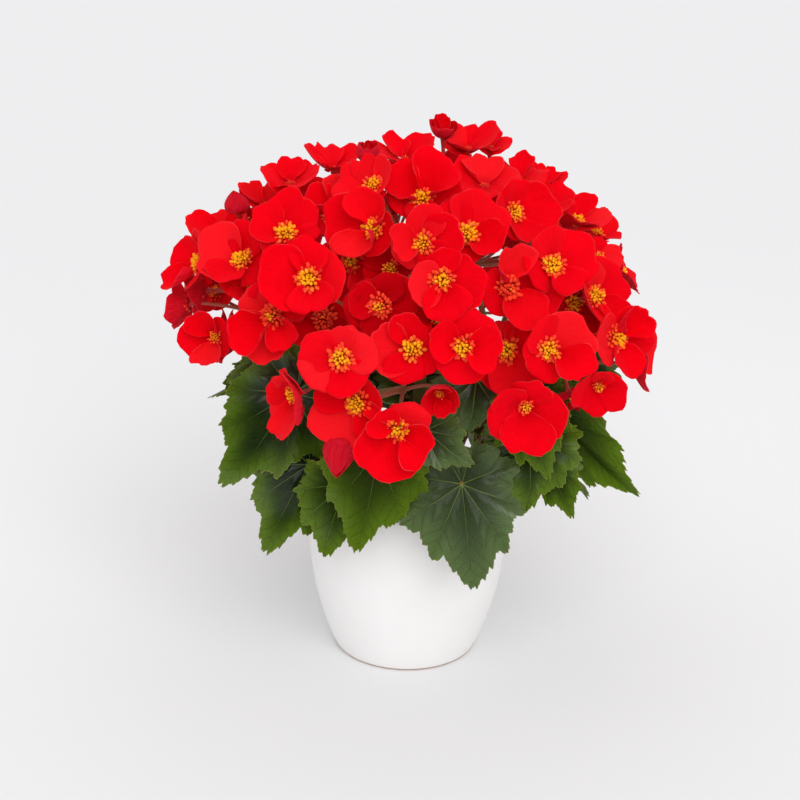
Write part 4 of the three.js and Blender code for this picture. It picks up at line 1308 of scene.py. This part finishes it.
def flower_stalk_lines(hub, place, blooms):
    """Lines of one cluster's branched stalk, with their thickness and blush."""
    root = STEM_CURVES[hub[3]].at(hub[4])
    bend = (root + place) / 2 + np.array([0, 0, PEDUNCLE_RISE])
    path, t = arch(root, bend, place, PEDUNCLE_STEPS)
    path = np.vstack([path, place + (place - path[-2]) * PEDUNCLE_BEYOND])
    thick = np.append(PEDUNCLE_RADIUS * (PEDUNCLE_TAPER[0] - PEDUNCLE_TAPER[1] * t), 0.0)
    thick[-3:] = PEDUNCLE_RADIUS * PEDUNCLE_END
    lines = [(path, thick, np.append(t * PEDUNCLE_BLUSH, 0.5))]
    ends, waist, top = PEDICEL_FLARE
    rises, widths = FLOWER_FOOT
    for bloom in blooms:
        heart, face = bloom.heart, bloom.face
        back = heart - face * 0.9
        reach = np.linalg.norm(place - back) * PEDICEL_BOW
        path, t = arch(place, heart - face * reach, back, PEDICEL_STEPS)
        thick = PEDICEL_RADIUS * (ends - waist * np.sin(t * math.pi))
        thick[0], thick[-1] = PEDUNCLE_RADIUS * 0.9, PEDICEL_RADIUS * top
        path = np.vstack([path, *(heart + face * rise for rise in rises)])
        blush = np.append(PEDUNCLE_BLUSH + 0.5 * t, [1.0, 1.0])
        lines.append((path, np.append(thick, widths), blush))
    return lines


def line_piece(name, lines):
    """An object of bare lines whose points carry thickness and blush."""
    edges, first = [], 0
    for path, _, _ in lines:
        edges.extend((k, k + 1) for k in range(first, first + len(path) - 1))
        first += len(path)
    points, thickness, blush = (np.concatenate(column) for column in zip(*lines))
    return add_object(name, valued_mesh(name, points, edges, thickness=thickness * MM, blush=blush))


# ------------------------------------------------------------------ leaves

VEINS = np.array([0.0, 31, -31, 64, -64, 103, -103, 150, -150])
VEIN_SPLAY = 0.06  # side veins start this much wider and bend towards the tip
# Lobed outline of a grown blade: angles from the tip, and how far it reaches there
LOBE_ANGLES = np.array([0.0, 6, 14, 22, 31, 40, 52, 64, 76, 90, 103, 118, 134, 150, 165, 180])
LOBE_REACHES = np.array(
    [1.03, 0.91, 0.78, 0.71, 0.77, 0.68, 0.61, 0.69, 0.57, 0.52, 0.6, 0.49, 0.47, 0.47, 0.31, 0.1]
)
# The outline is rounded off a little: shifts in degrees, and their weights
LOBE_EASING = ((-2.5, 0.25), (0.0, 0.5), (2.5, 0.25))
GRID_FINE, GRID_PLAIN = (320, 20), (220, 13)  # points round a leaf and rings
# Large and small teeth: gap in millimetres, how the gap grows with the leaf, depth, seed
TEETH = ((12.5, 0.5, 3.6, 10), (4.2, 0.3, 1.7, 50))
TOOTH_SHIFT = 2.6
TOOTH_RISE, TOOTH_FALL = 0.8, 0.2  # shares of a tooth before and after its point
LEAF_SCALE = 72  # teeth and waves are drawn for a leaf of this length
LEAF_WAVES = ((3.0, 4), (2.2, 9), (0.9, 17))  # height in millimetres, and how many
LEAF_HALF = 0.42  # half a leaf's thickness in its middle
LEAF_THINNING = 0.24  # how much less that is at its edge
BLADE_DIP, STALK_DIP = 3.7, 3.4  # how far the leaf's middle and the stalk's end lie below
# Shades of the leaves that the show side bares, from yellow green to grey green, the grey green
# being a painted reflection of the bright room
LEAF_SHADES = [1.0, 0.1, 0.2, 0.45, 0.5, 0.6, 0.55, 0.9, 0.95, 0.3, 0.35, 0.25, 0.1]
LEAF_SHADES += [0.6, 0.5, 0.6, 0.6]


def leaf_columns(count):
    """Angles spaced evenly along a leaf's margin, and how far along the margin each lies."""
    fine = np.linspace(-180, 180, 1441)
    reach = np.interp(np.abs(fine), LOBE_ANGLES, LOBE_REACHES)
    x, y = np.sin(np.radians(fine)) * reach, np.cos(np.radians(fine)) * reach
    far = np.concatenate([[0], np.cumsum(np.hypot(np.diff(x), np.diff(y)))])
    angles = np.interp(np.arange(count) * far[-1] / count, far, fine)
    for vein in VEINS:
        angles[np.argmin(np.abs(angles - vein))] = vein
    return angles, np.interp(angles, fine, far)


def leaf_outline(angles, rng):
    """How far the margin lies from the stalk's joint, a little different on every leaf and side."""
    stray = 1 + rng.uniform(-0.06, 0.06, (2, len(LOBE_ANGLES)))
    stray[:, [0, -1]] = 1
    both = np.concatenate([-LOBE_ANGLES[:0:-1], LOBE_ANGLES])
    reach = np.concatenate([(LOBE_REACHES * stray[0])[:0:-1], LOBE_REACHES * stray[1]])
    return sum(weight * np.interp(angles + shift, both, reach) for shift, weight in LOBE_EASING)


def teeth(run, angles, pitch, seed):
    """Saw teeth along the margin that point towards the tip, from 0 to 1."""
    rng = np.random.default_rng(seed)
    phase = run / pitch + 0.35 * np.sin(run / pitch * 0.9 + rng.uniform(*PHASES))
    share = phase - np.floor(phase)
    share = np.where(angles < 0, share, 1 - share)
    return np.where(share < TOOTH_RISE, share / TOOTH_RISE, (1 - share) / TOOTH_FALL)


def leaf_blade(leaf):
    """Points, faces and values of one leaf blade as a closed thin shell."""
    rng = np.random.default_rng(LEAF_SEED + leaf.seed)
    columns, rings = GRID_FINE if leaf.fine else GRID_PLAIN
    angles, run = leaf_columns(columns)
    reach = leaf_outline(angles, rng) * leaf.length
    scale = leaf.length / LEAF_SCALE
    run = run * leaf.length
    tooth = sum(
        depth * teeth(run, angles, gap * scale**growth, seed + leaf.seed)
        for gap, growth, depth, seed in TEETH
    )
    tooth = (tooth - TOOTH_SHIFT) * scale**0.6 * np.clip((178 - np.abs(angles)) / 30, 0, 1)
    share = (1 - (1 - np.linspace(0, 1, rings + 1)[1:]) ** 1.25)[:, None]
    polar = share * reach + share**7 * tooth
    a = np.radians(angles)
    x = np.sin(a) * polar * leaf.width / (leaf.length * LEAF_ROUND)
    y = np.cos(a) * polar
    curve = rng.uniform(-5, 5) * np.sin(math.pi * share)
    veins = VEINS * (1 + VEIN_SPLAY * (1 - share[..., None])) + curve[..., None]
    gaps = np.abs(angles[None, :, None] - veins)
    gap = np.radians(np.minimum(gaps, 360 - gaps).min(2))
    aside, ahead = polar * np.sin(gap), polar * np.cos(gap)
    bulge = np.clip(aside / (0.24 * polar + 2.0), 0, 1)
    quilt = 0.17 * polar**0.72 * bulge * (1 - 0.5 * share**3)
    steps = (ahead - SIDE_VEIN_SLANT * aside) / SIDE_VEIN_GAP
    chevron = 0.3 * np.sin(steps * 2 * math.pi) * np.clip(aside / 6, 0, 1)
    phase = rng.uniform(*PHASES, 4)
    waves = sum(high * np.sin(n * a + shift) for (high, n), shift in zip(LEAF_WAVES, phase))
    wave = share**2.6 * waves
    crease = rng.uniform(0.02, 0.26) * np.abs(x)
    bend = (x / (leaf.width / 2)) ** 2 + LENGTH_DROOP * (y / leaf.length - 0.5) ** 2 - MIDDLE_RISE
    funnel = 2.5 * np.exp(-((polar / 12) ** 2))
    lift = quilt + chevron + wave * scale + crease - leaf.droop * bend - funnel - 1.6
    sheet = leaf.base
    for amount, way in ((y, leaf.along), (x, leaf.side), (lift, leaf.face)):
        sheet = sheet + amount[..., None] * way
    normals = grid_normals(sheet, True)
    if (normals[rings // 2] @ leaf.face).mean() < 0:
        normals = -normals
    half = normals * (LEAF_HALF - LEAF_THINNING * share)[..., None]
    middle, dip = leaf.below(BLADE_DIP), leaf.face * LEAF_HALF
    front, rear = (sheet + half).reshape(-1, 3), (sheet - half).reshape(-1, 3)
    points = np.concatenate([[middle + dip], front, [middle - dip], rear])

    def both(column):
        column = np.broadcast_to(column, (rings, columns))
        return np.tile(np.concatenate([[0.0], column.ravel()]), 2)

    values = {
        "along_vein": both(ahead),
        "from_vein": both(aside),
        "rim": both(share),
        "back": np.repeat([0.0, 1.0], rings * columns + 1),
        "shade": LEAF_SHADES[leaf.seed] if leaf.seed < len(LEAF_SHADES) else rng.uniform(0.2, 0.9),
    }
    return points, round_sheet_faces(rings, columns), values


def leaf_stalk(leaf):
    end = leaf.below(STALK_DIP)
    bow = leaf.root + (end - leaf.root) * PETIOLE_BOW_SHARE
    bow[2] = max(leaf.root[2], end[2]) + PETIOLE_RISE
    path, t = arch(leaf.root, bow, end, PETIOLE_STEPS)
    radii = PETIOLE_RADIUS * (1.15 - 0.35 * t + 0.25 * (t > 0.97))
    return sweep(path, radii, STALK_SIDES)


# ------------------------------------------------------------------ pots and soil

CACHEPOT_RADII = (50.2, 51.8, 55.8, 62.2, 66.6, 70.4, 71.4, 71.6)
CACHEPOT_HEIGHTS = (0, 3, 12.6, 32.8, 51.4, 80.5, 104, 125.8)
CACHEPOT_SIDES = 144
CACHEPOT_WALL = 4.5
CACHEPOT_FLOOR = 6.0
CACHEPOT_LIP = 2.2  # height of the rounded lip
LIP_STEPS = 8
OUTLINE_STEPS = 5
GROWER_SIDES = 96
GROWER_BASE_Z = 6.3
GROWER_BASE_RADIUS = 42
GROWER_FLARE = 16
GROWER_HEIGHT = 108.0
GROWER_WALL = 1.6
GROWER_BAND = 9  # height of the band under the rim
WALL_STEPS = 14
DRAINS = 5
DRAIN_RING = 27
DRAIN_RADIUS = 4
DRAIN_DEPTH = 6
DRAIN_SIDES = 20
SOIL_GAP = 0.3  # between the soil and the growing pot
SOIL_SIDES = 96
SOIL_RINGS = 26
SOIL_LUMPS = 26
SOIL_MOUND = 3.6


def grower_radius(z):
    return GROWER_BASE_RADIUS + GROWER_FLARE * (z - GROWER_BASE_Z) / GROWER_HEIGHT


def cachepot_profile():
    outer = rounded(list(zip(CACHEPOT_RADII, CACHEPOT_HEIGHTS)), OUTLINE_STEPS)
    inner = [(r - CACHEPOT_WALL, z) for r, z in outer if z > CACHEPOT_FLOOR + 3][::-1]
    rim, half = outer[-1][0], CACHEPOT_WALL / 2
    lip = []
    for k in range(1, LIP_STEPS):
        angle = math.pi * k / LIP_STEPS
        reach = rim - half + half * math.cos(angle)
        lip.append((reach, CACHEPOT_HEIGHTS[-1] + CACHEPOT_LIP * math.sin(angle) ** 0.8))
    floor = CACHEPOT_RADII[1] - CACHEPOT_WALL
    inside = [(floor + 1.2, CACHEPOT_FLOOR + 1.4), (floor, CACHEPOT_FLOOR + 0.3)]
    inside += [(floor - 2.5, CACHEPOT_FLOOR), (floor - 20, CACHEPOT_FLOOR), (0, CACHEPOT_FLOOR)]
    outer[0] = (50.1, 0.5)
    return [(0, 0), (30, 0), (48.4, 0.0), (49.4, 0.05), *outer, *lip, *inner, *inside]


def grower_profile():
    base, top = GROWER_BASE_Z, GROWER_BASE_Z + GROWER_HEIGHT
    band, floor = top - GROWER_BAND, base + GROWER_WALL
    outer = [(0, base), (30, base), (40.6, base), (42.0, base + 1.2)]
    outer += [(grower_radius(z), z) for z in np.linspace(base + 4, band - 1, WALL_STEPS)]
    rim = [(grower_radius(band) + 0.6, band - 0.4), (60.6, band), (61.0, band + 0.8)]
    rim += [(61.5, top - 1.0), (61.3, top - 0.3), (60.6, top), (57.4, top), (56.6, top - 0.5)]
    heights = np.linspace(top - 2, floor + 2, WALL_STEPS)
    inner = [(grower_radius(z) - GROWER_WALL, z) for z in heights]
    return outer + rim + inner + [(40.4, floor + 0.3), (36, floor), (0, floor)]


def soil_points():
    """Soil: a lumpy mound, straight sides against the pot and a flat bottom."""
    rng = np.random.default_rng(SOIL_SEED)
    bottom = GROWER_BASE_Z + GROWER_WALL + SOIL_GAP
    edge = SOIL_TOP_Z - 1
    low_radius, rim_radius = (grower_radius(z) - GROWER_WALL - SOIL_GAP for z in (bottom, edge))
    lumps = []
    for _ in range(SOIL_LUMPS):
        direction = rng.uniform(-1, 1, 2) * 0.35
        lumps.append((direction, rng.uniform(*PHASES), rng.uniform(0.25, 0.6)))
    angles = circle_angles(SOIL_SIDES)
    points = [[0, 0, bottom]]
    for radius, z in ((low_radius, bottom), (rim_radius, edge - 1.5)):
        points += [[radius * math.cos(b), radius * math.sin(b), z] for b in angles]
    for k in range(SOIL_RINGS):
        share = 1 - k / SOIL_RINGS
        for b in angles:
            x, y = rim_radius * share * math.cos(b), rim_radius * share * math.sin(b)
            lump = sum(high * math.sin(way @ (x, y) + phase) for way, phase, high in lumps)
            mound = edge + SOIL_MOUND * (1 - share**1.6)
            points.append([x, y, mound + lump * 0.28 * min(1, 6 * (1 - share))])
    points.append([0, 0, SOIL_TOP_Z + 2.8])
    faces = tube_faces(SOIL_RINGS + 2, SOIL_SIDES, 1, 0, len(points) - 1)
    return np.array(points, float), faces


# ------------------------------------------------------------------ settings


def colour_setting(name, description, default):
    return bpy.props.FloatVectorProperty(
        name=name, description=description, subtype="COLOR", size=3, min=0, max=1, default=default
    )


def number_setting(name, description, default, **kind):
    return bpy.props.FloatProperty(name=name, description=description, default=default, **kind)


class BegoniaPlantSettings(bpy.types.PropertyGroup):
    petal_colour: colour_setting("Petals", "Colour of the petals' fronts", (0.92, 0.0004, 0.008))
    stamen_colour: colour_setting("Stamens", "Colour of the ripest anthers", (1.0, 0.45, 0.005))
    leaf_colour: colour_setting("Leaves", "Colour of grown leaves", (0.009, 0.023, 0.0015))
    anther_length: number_setting("Anther length", "Length of an anther", 0.0031, unit="LENGTH")
    anther_width: number_setting("Anther width", "Width of an anther", 0.0021, unit="LENGTH")
    thread_length: number_setting(
        "Thread length", "Length of a stamen's thread", 0.0058, unit="LENGTH"
    )


class BegoniaPotSettings(bpy.types.PropertyGroup):
    glaze_colour: colour_setting("Glaze", "Colour of the cachepot's glaze", (0.94, 0.93, 0.92))
    plastic_colour: colour_setting("Plastic", "Colour of the growing pot", (0.01, 0.01, 0.011))
    soil_colour: colour_setting("Soil", "Colour of the dry peat", (0.05, 0.028, 0.016))
    crumb_density: number_setting("Crumb density", "Crumbs of peat on each square metre", 90000.0)
    perlite_density: number_setting("Perlite density", "Pale grains on each square metre", 6500.0)


class BegoniaStageSettings(bpy.types.PropertyGroup):
    floor_colour: colour_setting("Floor", "Colour of the studio floor", (0.82, 0.82, 0.83))
    key_light: number_setting("Key light", "Strength of the main soft light", 1.55)
    key_softness: number_setting(
        "Key softness", "Angle that the main light fills", math.radians(50), subtype="ANGLE"
    )
    room_light: number_setting("Room light", "Brightness of the light from all sides", 0.92)


SKY_LEAN = (-0.15, 0.55, 0.8)  # the room is brightest this way
SKY_STOPS = [(0.0, (0.62, 0.62, 0.63)), (0.75, (1.0, 1.0, 1.0))]
KEY_FROM = (0.22, -1.0, 0.85)
FLOOR_RADIUS = 6.0
FLOOR_SIDES = 96
SENSOR_WIDTH = 36.0
FOCAL_PIXELS = 2285.7
PHOTO_PIXELS = 800
CLIP = (0.05, 30.0)


# ------------------------------------------------------------------ operators


class BEGONIA_OT_cachepot(bpy.types.Operator):
    """Turns the white glazed outer pot"""

    bl_idname = "begonia.cachepot"
    bl_label = "Cachepot"

    def execute(self, context):
        material = glaze_finish(context.scene.begonia_pot)
        shape = lathe(cachepot_profile(), CACHEPOT_SIDES)
        piece = solid_piece("glazed_cachepot", *shape, material)
        finish_piece(piece, "pot_glaze", "cachepot")
        return {"FINISHED"}


class BEGONIA_OT_growing_pot(bpy.types.Operator):
    """Turns the thin black growing pot and cuts its drain holes"""

    bl_idname = "begonia.growing_pot"
    bl_label = "Growing pot"

    def execute(self, context):
        material = plastic_finish(context.scene.begonia_pot)
        shape = lathe(grower_profile(), GROWER_SIDES)
        piece = solid_piece("plastic_growing_pot", *shape, material)
        drains = bmesh.new()
        radius = DRAIN_RADIUS * MM
        size = {"radius1": radius, "radius2": radius, "depth": DRAIN_DEPTH * MM}
        for k in range(DRAINS):
            angle = 2 * math.pi * k / DRAINS
            x, y = DRAIN_RING * math.cos(angle), DRAIN_RING * math.sin(angle)
            place = Matrix.Translation(Vector((x, y, GROWER_BASE_Z)) * MM)
            bmesh.ops.create_cone(
                drains, cap_ends=True, segments=DRAIN_SIDES, matrix=place, **size
            )
        holes = add_object("drains", bpy.data.meshes.new("drains"))
        drains.to_mesh(holes.data)
        drains.free()
        cut = piece.modifiers.new("drains", "BOOLEAN")
        cut.operation = "DIFFERENCE"
        cut.object = holes
        make_plain(piece)
        bpy.data.objects.remove(holes)
        finish_piece(piece, "grower_plastic", "grower_pot")
        return {"FINISHED"}


class BEGONIA_OT_soil(bpy.types.Operator):
    """Fills in the soil and strews crumbs of peat and pale grains on it"""

    bl_idname = "begonia.soil"
    bl_label = "Soil"

    def execute(self, context):
        options = context.scene.begonia_pot
        material = peat_finish(options)
        points, faces = soil_points()
        bed = solid_piece("soil_bed", points, faces, material, pale=np.zeros(len(points)))
        finish_piece(bed, "peat", "potting_soil")
        tree = crumb_tree()
        crumbs = {"smallest": 0.0005, "largest": 0.0016, "pale": 0.0, "seed": 3}
        perlite = {"smallest": 0.0008, "largest": 0.0019, "pale": 1.0, "seed": 8}
        for name, density, kind in (
            ("soil_crumbs", options.crumb_density, crumbs),
            ("perlite_grains", options.perlite_density, perlite),
        ):
            piece = add_object(name, bed.data.copy())
            tree.run(piece, density=density, material=material, **kind)
            finish_piece(piece, "peat")
        return {"FINISHED"}


class BEGONIA_OT_stems(bpy.types.Operator):
    """Raises the five fleshy stems"""

    bl_idname = "begonia.stems"
    bl_label = "Stems"

    def execute(self, context):
        material = stem_finish()
        tree = sweep_tree()
        for k, curve in enumerate(STEM_CURVES):
            share = np.linspace(0, 1, STEM_POINTS)
            path = np.array([curve.at(s) for s in share])
            knots = np.abs(np.sin(share * STEM_KNOTS * math.pi + k)) ** KNOT_SHARPNESS
            thick = STEM_RADIUS * (STEM_TAPER[0] - STEM_TAPER[1] * share)
            thick = thick * (1 + KNOT_SWELL * knots)
            thick[-3:] *= STEM_END
            piece = line_piece(f"fleshy_stem_{k + 1}", [(path, thick, share)])
            tree.run(piece, sides=STEM_SIDES, material=material)
            finish_piece(piece, "stem_green", f"stem_{k + 1}")
        return {"FINISHED"}


class BEGONIA_OT_flower_stalks(bpy.types.Operator):
    """Grows the branched stalk of every flower cluster"""

    bl_idname = "begonia.flower_stalks"
    bl_label = "Flower stalks"

    def execute(self, context):
        material = stalk_finish()
        tree = sweep_tree()
        for k, cluster in enumerate(zip(HUBS, HUB_PLACES, CLUSTERS), 1):
            piece = line_piece(f"flower_stalk_{k:02d}", flower_stalk_lines(*cluster))
            tree.run(piece, sides=STALK_SIDES, material=material)
            finish_piece(piece, "stem_green", f"bloom_cluster_{k:02d}")
        return {"FINISHED"}


class BEGONIA_OT_petals(bpy.types.Operator):
    """Opens the petals of every flower"""

    bl_idname = "begonia.petals"
    bl_label = "Petals"

    def execute(self, context):
        material = petal_finish(context.scene.begonia_plant)
        for k, blooms in enumerate(CLUSTERS, 1):
            heap = Heap("reach", "spread", "back", "shade")
            for bloom in blooms:
                add_flower(heap, bloom)
            piece = heap.piece(f"petals_{k:02d}", material)
            finish_piece(piece, "petal_scarlet", f"bloom_cluster_{k:02d}")
        return {"FINISHED"}


class BEGONIA_OT_stamens(bpy.types.Operator):
    """Sets the golden stamens in the open flowers"""

    bl_idname = "begonia.stamens"
    bl_label = "Stamens"

    def execute(self, context):
        options = context.scene.begonia_plant
        sizes = {
            key: getattr(options, key) for key in ("thread_length", "anther_length", "anther_width")
        }
        material = stamen_finish(options)
        tree = stamen_tree()
        for k, blooms in enumerate(CLUSTERS, 1):
            sets = [stamen_points(bloom) for bloom in blooms if closing(bloom) <= BUD]
            if not sets:
                continue
            feet, lean, size, gold = (np.concatenate(column) for column in zip(*sets))
            name = f"stamens_{k:02d}"
            piece = add_object(name, valued_mesh(name, feet, lean=lean, size=size, gold=gold))
            tree.run(piece, thread_radius=THREAD_RADIUS, material=material, **sizes)
            finish_piece(piece, "petal_scarlet", f"bloom_cluster_{k:02d}")
        return {"FINISHED"}


class BEGONIA_OT_leaves(bpy.types.Operator):
    """Spreads every leaf on its stalk"""

    bl_idname = "begonia.leaves"
    bl_label = "Leaves"

    def execute(self, context):
        deep = colour_of(context.scene.begonia_plant.leaf_colour)
        grown = leaf_finish("waxy_leaf", deep, (0.026, 0.056, 0.0012), (0.115, 0.2, 0.008))
        young = (0.04, 0.085, 0.006), (0.07, 0.13, 0.012), (0.1, 0.19, 0.012)
        fresh = leaf_finish("fresh_leaf", *young)
        first = len(LEAVES) + len(FAR_LEAVES)
        crown = range(first, first + len(CROWN_LEAVES))
        for k, leaf in enumerate(PLACED_LEAVES):
            heap = Heap("along_vein", "from_vein", "rim", "back", "shade", "stalk")
            points, faces, values = leaf_blade(leaf)
            heap.add(points, faces, **values)
            heap.add(*leaf_stalk(leaf), stalk=1.0, from_vein=50.0)
            piece = heap.piece(f"leaf_blade_{k + 1:02d}", fresh if k in crown else grown)
            finish_piece(piece, "leaf_green", f"leaf_{k + 1:02d}")
        return {"FINISHED"}


class BEGONIA_OT_stage(bpy.types.Operator):
    """Sets the pale floor, the soft lights and the camera"""

    bl_idname = "begonia.stage"
    bl_label = "Stage"

    def execute(self, context):
        scene = context.scene
        options = scene.begonia_stage
        floor = add_object("studio_floor", bpy.data.meshes.new("studio_floor"))
        disc = bmesh.new()
        bmesh.ops.create_circle(disc, cap_ends=True, segments=FLOOR_SIDES, radius=FLOOR_RADIUS)
        disc.to_mesh(floor.data)
        disc.free()
        floor.data.materials.append(floor_finish(options))

        scene.world = bpy.data.worlds.new("studio_room")
        scene.world.use_nodes = True
        room = Graph(scene.world.node_tree)
        look = room.node("ShaderNodeTexCoord").outputs["Generated"]
        lean = room.node(
            "ShaderNodeVectorMath", {"operation": "DOT_PRODUCT"}, (look, unit(np.array(SKY_LEAN)))
        )
        ramp = room.node("ShaderNodeValToRGB", {"stops": SKY_STOPS}, (lean.outputs["Value"],))
        sky = room.tree.nodes["Background"]
        sky.inputs["Strength"].default_value = options.room_light
        room.tree.links.new(ramp.outputs[0], sky.inputs["Color"])

        sun = bpy.data.lights.new("key_light", "SUN")
        sun.energy = options.key_light
        sun.angle = options.key_softness
        stand = add_object("key_light", sun)
        stand.rotation_euler = Vector(KEY_FROM).to_track_quat("Z", "Y").to_euler()

        lens = bpy.data.cameras.new("camera")
        lens.sensor_width = SENSOR_WIDTH
        lens.lens = SENSOR_WIDTH * FOCAL_PIXELS / PHOTO_PIXELS
        lens.clip_start, lens.clip_end = CLIP
        camera = add_object("camera", lens)
        turn = Matrix((SIGHT_RIGHT, SIGHT_UP, SIGHT_BACK)).transposed()
        camera.rotation_euler = turn.to_euler()
        camera.location = EYE * MM
        scene.camera = camera
        scene.view_settings.view_transform = "Standard"
        return {"FINISHED"}


class BEGONIA_PT_panel(bpy.types.Panel):
    """Lists the plant's pieces and settings"""

    bl_idname = "BEGONIA_PT_panel"
    bl_label = "Potted Begonia"
    bl_space_type = "VIEW_3D"
    bl_region_type = "UI"
    bl_category = "Begonia"

    def draw(self, context):
        for name in SETTINGS:
            group = getattr(context.scene, name)
            box = self.layout.box()
            for key in group.bl_rna.properties.keys():
                if key not in {"rna_type", "name"}:
                    box.prop(group, key)
        for operator in OPERATORS:
            self.layout.operator(operator.bl_idname)


SETTINGS = {
    "begonia_pot": BegoniaPotSettings,
    "begonia_plant": BegoniaPlantSettings,
    "begonia_stage": BegoniaStageSettings,
}
OPERATORS = [
    BEGONIA_OT_cachepot,
    BEGONIA_OT_growing_pot,
    BEGONIA_OT_soil,
    BEGONIA_OT_stems,
    BEGONIA_OT_flower_stalks,
    BEGONIA_OT_petals,
    BEGONIA_OT_stamens,
    BEGONIA_OT_leaves,
    BEGONIA_OT_stage,
]
CLASSES = (*SETTINGS.values(), *OPERATORS, BEGONIA_PT_panel)


def register():
    for group in CLASSES:
        bpy.utils.register_class(group)
    for name, group in SETTINGS.items():
        setattr(bpy.types.Scene, name, bpy.props.PointerProperty(type=group))


def unregister():
    for name in SETTINGS:
        delattr(bpy.types.Scene, name)
    for group in reversed(CLASSES):
        bpy.utils.unregister_class(group)


def main():
    register()
    for operator in OPERATORS:
        family, name = operator.bl_idname.split(".")
        getattr(getattr(bpy.ops, family), name)()
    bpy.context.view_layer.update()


if __name__ == "__main__":
    main()
